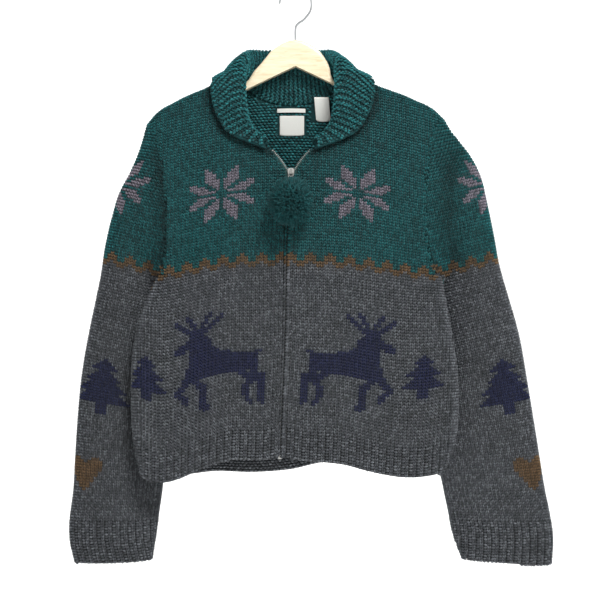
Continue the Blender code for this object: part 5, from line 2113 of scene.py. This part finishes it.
@dataclass
class Pompom:
    """The wool pompom on the zip's pull: a ball of cut yarns, pressed where it lies on the front."""

    wool: bpy.types.Material
    pivot: tuple[float, float, float] = (-6.5, -44.26, -280.7)
    drop: float = 43.0
    forward: float = 26.0
    radius: float = 28.5
    tall: float = 1.13
    core: float = 19.0
    shade: float = 0.64  # how light the cut yarns are, and the tie
    tie_shade: float = 0.7
    yarns: int = 5000

    def build(self) -> None:
        """Makes the ball and the yarn that ties it to the ring."""
        rng = np.random.default_rng(41)
        x, y, z = self.pivot
        middle = np.array([x, y - self.forward, z - self.drop])
        wall = Form.wall_y(x, z - self.drop - 10) - KNIT.wall - 0.8
        golden = math.pi * (3 - math.sqrt(5))
        k = np.arange(self.yarns) + 0.5
        polar, turn = np.arccos(1 - 2 * k / self.yarns), golden * k
        aim = np.column_stack([np.sin(polar) * np.cos(turn), np.sin(polar) * np.sin(turn), np.cos(polar)])
        aim = unit(aim + rng.normal(0, 0.13, aim.shape))
        points, faces, colours = [], [], []
        base = 0
        reach = self.radius * rng.uniform(0.92, 1.01, self.yarns)
        steps = np.array([0.52, 0.8, 1.0])[:, None]
        for n in range(self.yarns):
            way = aim[n] * np.array([1, 1, self.tall])
            bend, curl = rng.normal(0, 0.1, 3), rng.normal(0, 0.05, 3)
            line = middle + (way * steps + bend * steps**2 + curl * np.sin(steps * 14)) * reach[n]
            line[:, 1] = np.minimum(line[:, 1], wall - rng.uniform(0, 1.2))
            verts, quads = tube_mesh(line, np.array([0.7, 1.0, 0.95]) * rng.uniform(0.8, 1.15), 3)
            points.append(verts)
            faces.append(quads + base)
            ends = np.array([[0, 2, 1, 1], [6, 7, 8, 8]]) + base
            faces.append(ends)
            base += len(verts)
            # Painted shade: each cut yarn is painted darker towards the ball's middle and lightest at its
            # tip.
            colours.append(np.repeat([0.45, 0.78, 0.98], 3) * rng.uniform(0.82, 1.18))
        verts, quads = np.concatenate(points), np.concatenate(faces)
        triangles = np.concatenate([quads[:, [0, 1, 2]], quads[quads[:, 2] != quads[:, 3]][:, [0, 2, 3]]])
        shade = green_shades(len(verts), 43) * np.concatenate(colours)[:, None] * self.shade
        ball = mesh_object("pompom_pile", verts, triangles, self.wool, shade)
        register(ball, "pull", ["pompom"])
        self.heart(middle, wall)
        self.tie(middle)

    def heart(self, middle: Array, wall: float) -> None:
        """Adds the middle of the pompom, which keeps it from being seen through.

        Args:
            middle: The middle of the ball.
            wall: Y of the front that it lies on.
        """
        bpy.ops.object.select_all(action="DESELECT")
        place = [float(v) * MM for v in middle]
        bpy.ops.mesh.primitive_ico_sphere_add(subdivisions=4, radius=self.core * MM, location=place)
        core = bpy.context.object
        core.name = "pompom_core"
        core.scale = (1.0, 1.0, self.tall)
        bpy.ops.object.transform_apply(location=True, rotation=True, scale=True)
        rng = np.random.default_rng(47)
        for vert in core.data.vertices:
            vert.co.y = min(vert.co.y, (wall - 1.5) * MM)
        count = len(core.data.vertices)
        # The middle is painted near black, as the shade deep inside the ball.
        tint_points(core.data, np.tile(linear("#0c2a2a"), (count, 1)) * rng.uniform(0.7, 1.2, (count, 1)))
        core.data.materials.append(self.wool)
        core.data.shade_smooth()
        register(core, "pull", ["pompom"])

    def tie(self, middle: Array) -> None:
        """Adds the doubled yarn from the pull's ring to the pompom.

        Args:
            middle: The middle of the ball.
        """
        lean = math.radians(31.0)
        down = np.array([0.0, -math.sin(lean), -math.cos(lean)])
        ring = np.array(self.pivot) + down * 10.85
        turn = np.linspace(0, 2 * math.pi, 32, endpoint=False)
        loop = ring + 2.7 * np.column_stack([np.zeros(32), np.cos(turn), np.sin(turn)])
        verts, quads = tube_mesh(loop, 1.15, 8, True)
        towards = unit(middle - ring)
        steps = np.linspace(2.6, np.linalg.norm(middle - ring) - 17, 14)
        parts, faces, base = [verts], [quads], len(verts)
        for phase in (0.0, math.pi):
            wave = steps * 0.9 + phase
            sideways = np.column_stack([np.cos(wave), np.sin(wave) * 0.4, np.zeros(14)])
            v, q = tube_mesh(ring + towards * steps[:, None] + sideways * 0.6, 0.95, 6)
            parts.append(v)
            faces += [q + base, np.array([[0, 5, 4, 3], [0, 3, 2, 1]]) + base]
            faces.append(np.array([[0, 1, 2, 3], [0, 3, 4, 5]]) + base + len(v) - 6)
            base += len(v)
        verts = np.concatenate(parts)
        shade = green_shades(len(verts), 53) * self.tie_shade
        tie = mesh_object("pompom_tie", verts, np.concatenate(faces), self.wool, shade)
        register(tie, "pull", ["pompom"])


# ---------------------------------------------------------------- labels and hanger


@dataclass
class Labels:
    """The blank labels sewn inside the back of the neck."""

    cloth: bpy.types.Material

    def sheet(
        self, name: str, xs: tuple, zs: tuple, thick: float, bow: float, top_lift: float, curl: float,
        lean: float = 0.0, round_off: float = 0.0,
    ) -> None:
        """Makes one label on the inside of the back.

        Args:
            name: The CAD node that it stands for.
            xs: Its left and right edges.
            zs: Its bottom and top edges.
            thick: Its thickness.
            bow: How far its middle stands off.
            top_lift: How far its top stands off.
            curl: Waviness of its free edges.
            lean: How far it swings aside, per unit of height.
            round_off: How far its lower corners are rounded.
        """
        columns, rows = 22, 18
        x, z = np.meshgrid(np.linspace(*xs, columns), np.linspace(*zs, rows))
        share = np.linspace(-1, 1, columns)[None, :]
        climb = np.linspace(0, 1, rows)[:, None]
        back = np.array([[Form.wall_y(a, b, Face.BACK) for a, b in zip(ra, rb)] for ra, rb in zip(x, z)])
        y = back - 0.5 - bow * (1 - share**2) - top_lift * climb
        y = y - curl * (1 - climb) * (0.5 + 0.5 * np.sin(share * 2.4 + 0.6))
        low = (1 - climb) ** 2
        x = x + lean * (zs[1] - z)
        z = z + round_off * low * abs(share) ** 3
        under = np.stack([x, y, z], axis=-1)
        over = under - np.array([0, thick, 0])
        plain = np.ones((*x.shape, 3))
        label = wall_object(f"{name}_cloth", over, under, self.cloth, False, plain)
        register(label, "garment", [name])
        wide, tall = abs(xs[1] - xs[0]) * MM, abs(zs[1] - zs[0]) * MM
        min(wide, tall) >= 0.01

    @staticmethod
    def places() -> tuple[tuple[float, float, float, float], ...]:
        """Left, right, bottom and top of the square label, the strip and the care tag."""
        return (-24, 13, -216, -186), (-28, 15, -181.5, -175.5), (28, 50, -195, -159)

    def build(self) -> None:
        """Makes the square label, the strip over it and the care tag."""
        label, strip, tag = self.places()
        self.sheet("neck_label", label[:2], label[2:], 0.7, 0.0, 0.0, 0.5, 0.0, 1.2)
        self.sheet("neck_loop", strip[:2], strip[2:], 1.0, 2.5, 0.0, 0.0)
        self.sheet("size_tag", tag[:2], tag[2:], 0.6, 0.0, 3.4, 1.0, 0.09, 3.0)


@dataclass
class HangerHook:
    """The steel hook, bent from one wire."""

    metal: bpy.types.Material
    wire: float = 1.6
    bend: float = 24.0

    def build(self) -> None:
        """Makes the hook on the same line as its solid."""
        stem = np.array([
            (0, 0, -96), (0, 0, -84), (0, 0, -72), (0, 0, -60),
            (1.2, 0, -54), (5.5, 0, -49.4), (12, 0, -45.2),
        ], float)
        centre = self.wire - self.bend
        angles = np.radians(np.linspace(-42, 176, 40))
        arc = np.column_stack([self.bend * np.cos(angles), np.zeros(40), centre + self.bend * np.sin(angles)])
        line = np.concatenate([stem, arc])
        gone = travelled(line)
        line = cubic(line, gone, np.linspace(0, gone[-1], 120))
        hook = mesh_object("hook_wire", *tube_mesh(line, self.wire, 18), self.metal)
        register(face_outwards(hook, fill=True), "garment", ["hanger_hook"])


# ---------------------------------------------------------------- the studio


@dataclass(frozen=True)
class Studio:
    """A pale seamless room, soft lights and the camera."""

    camera_at: tuple[float, float, float] = (0.00675, -1.5, -0.465)
    aim: tuple[float, float, float] = (0.0, 0.0, -0.42)
    lens: float = 60.0
    room: float = 6.0
    curve: float = 1.8  # radius of the bend from the floor to the wall
    wall_top: float = 4.6
    floor_z: float = -1.15
    paint: str = "#f4f4f3"
    dim_glow: float = 0.06
    backdrop_glow: float = 0.54

    def build(self) -> None:
        """Sets the room, lights and camera."""
        self.build_room()
        self.build_camera()
        self.light("key", (0.8, -1.7, 1.7), 0.8, 76.0)
        self.light("fill", (-1.9, -2.2, -0.2), 2.4, 4.0)
        self.light("rear", (0.6, 2.6, 1.0), 2.4, 26.0)
        world = bpy.data.worlds.new("studio_air")
        world.use_nodes = True
        world.node_tree.nodes["Background"].inputs["Color"].default_value = (0.95, 0.97, 1.0, 1.0)
        world.node_tree.nodes["Background"].inputs["Strength"].default_value = 0.3
        bpy.context.scene.world = world
        bpy.context.scene.view_settings.view_transform = "Standard"

    def build_room(self) -> None:
        """Makes a round floor that curves up into a low wall, well away from the object."""
        flat, steps = self.room - self.curve, 96
        profile = [(flat, 0.0)]
        for k in range(1, 13):
            angle = math.radians(90 * k / 12)
            profile.append((flat + self.curve * math.sin(angle), self.curve - self.curve * math.cos(angle)))
        profile.append((self.room, self.wall_top))
        points = [(0.0, 0.0, self.floor_z)]
        for k in range(steps):
            turn = 2 * math.pi * k / steps
            points += [(r * math.cos(turn), r * math.sin(turn), self.floor_z + h) for r, h in profile]
        rings, faces = len(profile), []
        for k in range(steps):
            a, b = 1 + k * rings, 1 + ((k + 1) % steps) * rings
            faces.append((0, a, b))
            faces += [(a + i, a + i + 1, b + i + 1, b + i) for i in range(rings - 1)]
        mesh = bpy.data.meshes.new("studio_room")
        mesh.from_pydata(points, [], faces)
        mesh.shade_smooth()
        white = (1.0, 1.0, 1.0, 1.0)
        values = {"Base Color": (*linear(self.paint), 1.0), "Roughness": 1.0, "Emission Color": white}
        material, tree, shader, place = blank_material("glowing_white_paint", values)
        # The paint glows, dim in front and brighter towards +Y behind the garment: painted light, which
        # lights the garment too.
        axes = add_node(tree, "ShaderNodeSeparateXYZ", {}, {0: place})
        spread = {"From Min": -3.0, "From Max": 3.0, "To Min": self.dim_glow, "To Max": self.backdrop_glow}
        glow = add_node(tree, "ShaderNodeMapRange", spread, {"Value": axes.outputs["Y"]})
        tree.links.new(glow.outputs[0], shader.inputs["Emission Strength"])
        mesh.materials.append(material)
        room = bpy.data.objects.new("studio_room", mesh)
        bpy.context.scene.collection.objects.link(room)

    def build_camera(self) -> None:
        """Sets the camera square to the garment."""
        data = bpy.data.cameras.new("camera")
        data.lens, data.sensor_width, data.sensor_fit = self.lens, 36.0, "HORIZONTAL"
        data.clip_start, data.clip_end = 0.05, 60.0
        camera = bpy.data.objects.new("camera", data)
        camera.location = self.camera_at
        camera.rotation_euler = (math.radians(90), 0, 0)
        bpy.context.scene.collection.objects.link(camera)
        bpy.context.scene.camera = camera

    def light(self, name: str, place: tuple[float, float, float], size: float, power: float) -> None:
        """Adds one soft square light that faces the garment.

        Args:
            name: Its name.
            place: Where it stands, in metres.
            size: Its side, in metres.
            power: Its power in watts.
        """
        data = bpy.data.lights.new(name, "AREA")
        data.shape, data.size, data.energy = "SQUARE", size, power
        lamp = bpy.data.objects.new(name, data)
        lamp.location = place
        aim = Vector(self.aim) - Vector(place)
        lamp.rotation_euler = aim.to_track_quat("-Z", "Y").to_euler()
        bpy.context.scene.collection.objects.link(lamp)


def dress_solids(frame: dict, finishes: dict[str, bpy.types.Material]) -> None:
    """Gives the solids that stay in view their finishes.

    Args:
        frame: The frame's bodies and nodes.
        finishes: The finish of each node.
    """
    for node, finish in finishes.items():
        obj = frame["nodes"][node]
        for slot in obj.material_slots:
            slot.material = finish


def main() -> None:
    """Builds the whole object."""
    logging.basicConfig(level=logging.INFO, format="%(message)s")
    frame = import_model()
    wool = WoolFinish("knitting_wool").make()
    ground = WoolFinish("knitting_wool_ground", sheen=0.0).make()
    pile = WoolFinish("pompom_wool", fibre_mm=0.7).make()
    nickel = MetalFinish("nickel_plated_zip", "#b4b4b0", 0.3).make()
    steel = MetalFinish("bright_steel_wire", "#c2c4c6", 0.28).make()
    beech = WoodFinish().make()
    tape = WovenFinish("polyester_zip_tape", "#1d4543").make()
    cotton = WovenFinish("woven_cotton_label", "#e4e4de").make()

    knitter = Knitter(wool, ground)
    cardigan = Cardigan(knitter)
    cardigan.build()
    FrontEdges(cardigan, knitter).build()
    ShawlCollar(cardigan, knitter).build()
    Zip(nickel, tape).build()
    Pompom(pile).build()
    Labels(cotton).build()
    HangerHook(steel).build()
    dress_solids(frame, {"hanger": beech, "zip_slider": nickel, "zip_pull": nickel, "zip_box": nickel})
    Studio().build()


if __name__ == "__main__":
    main()
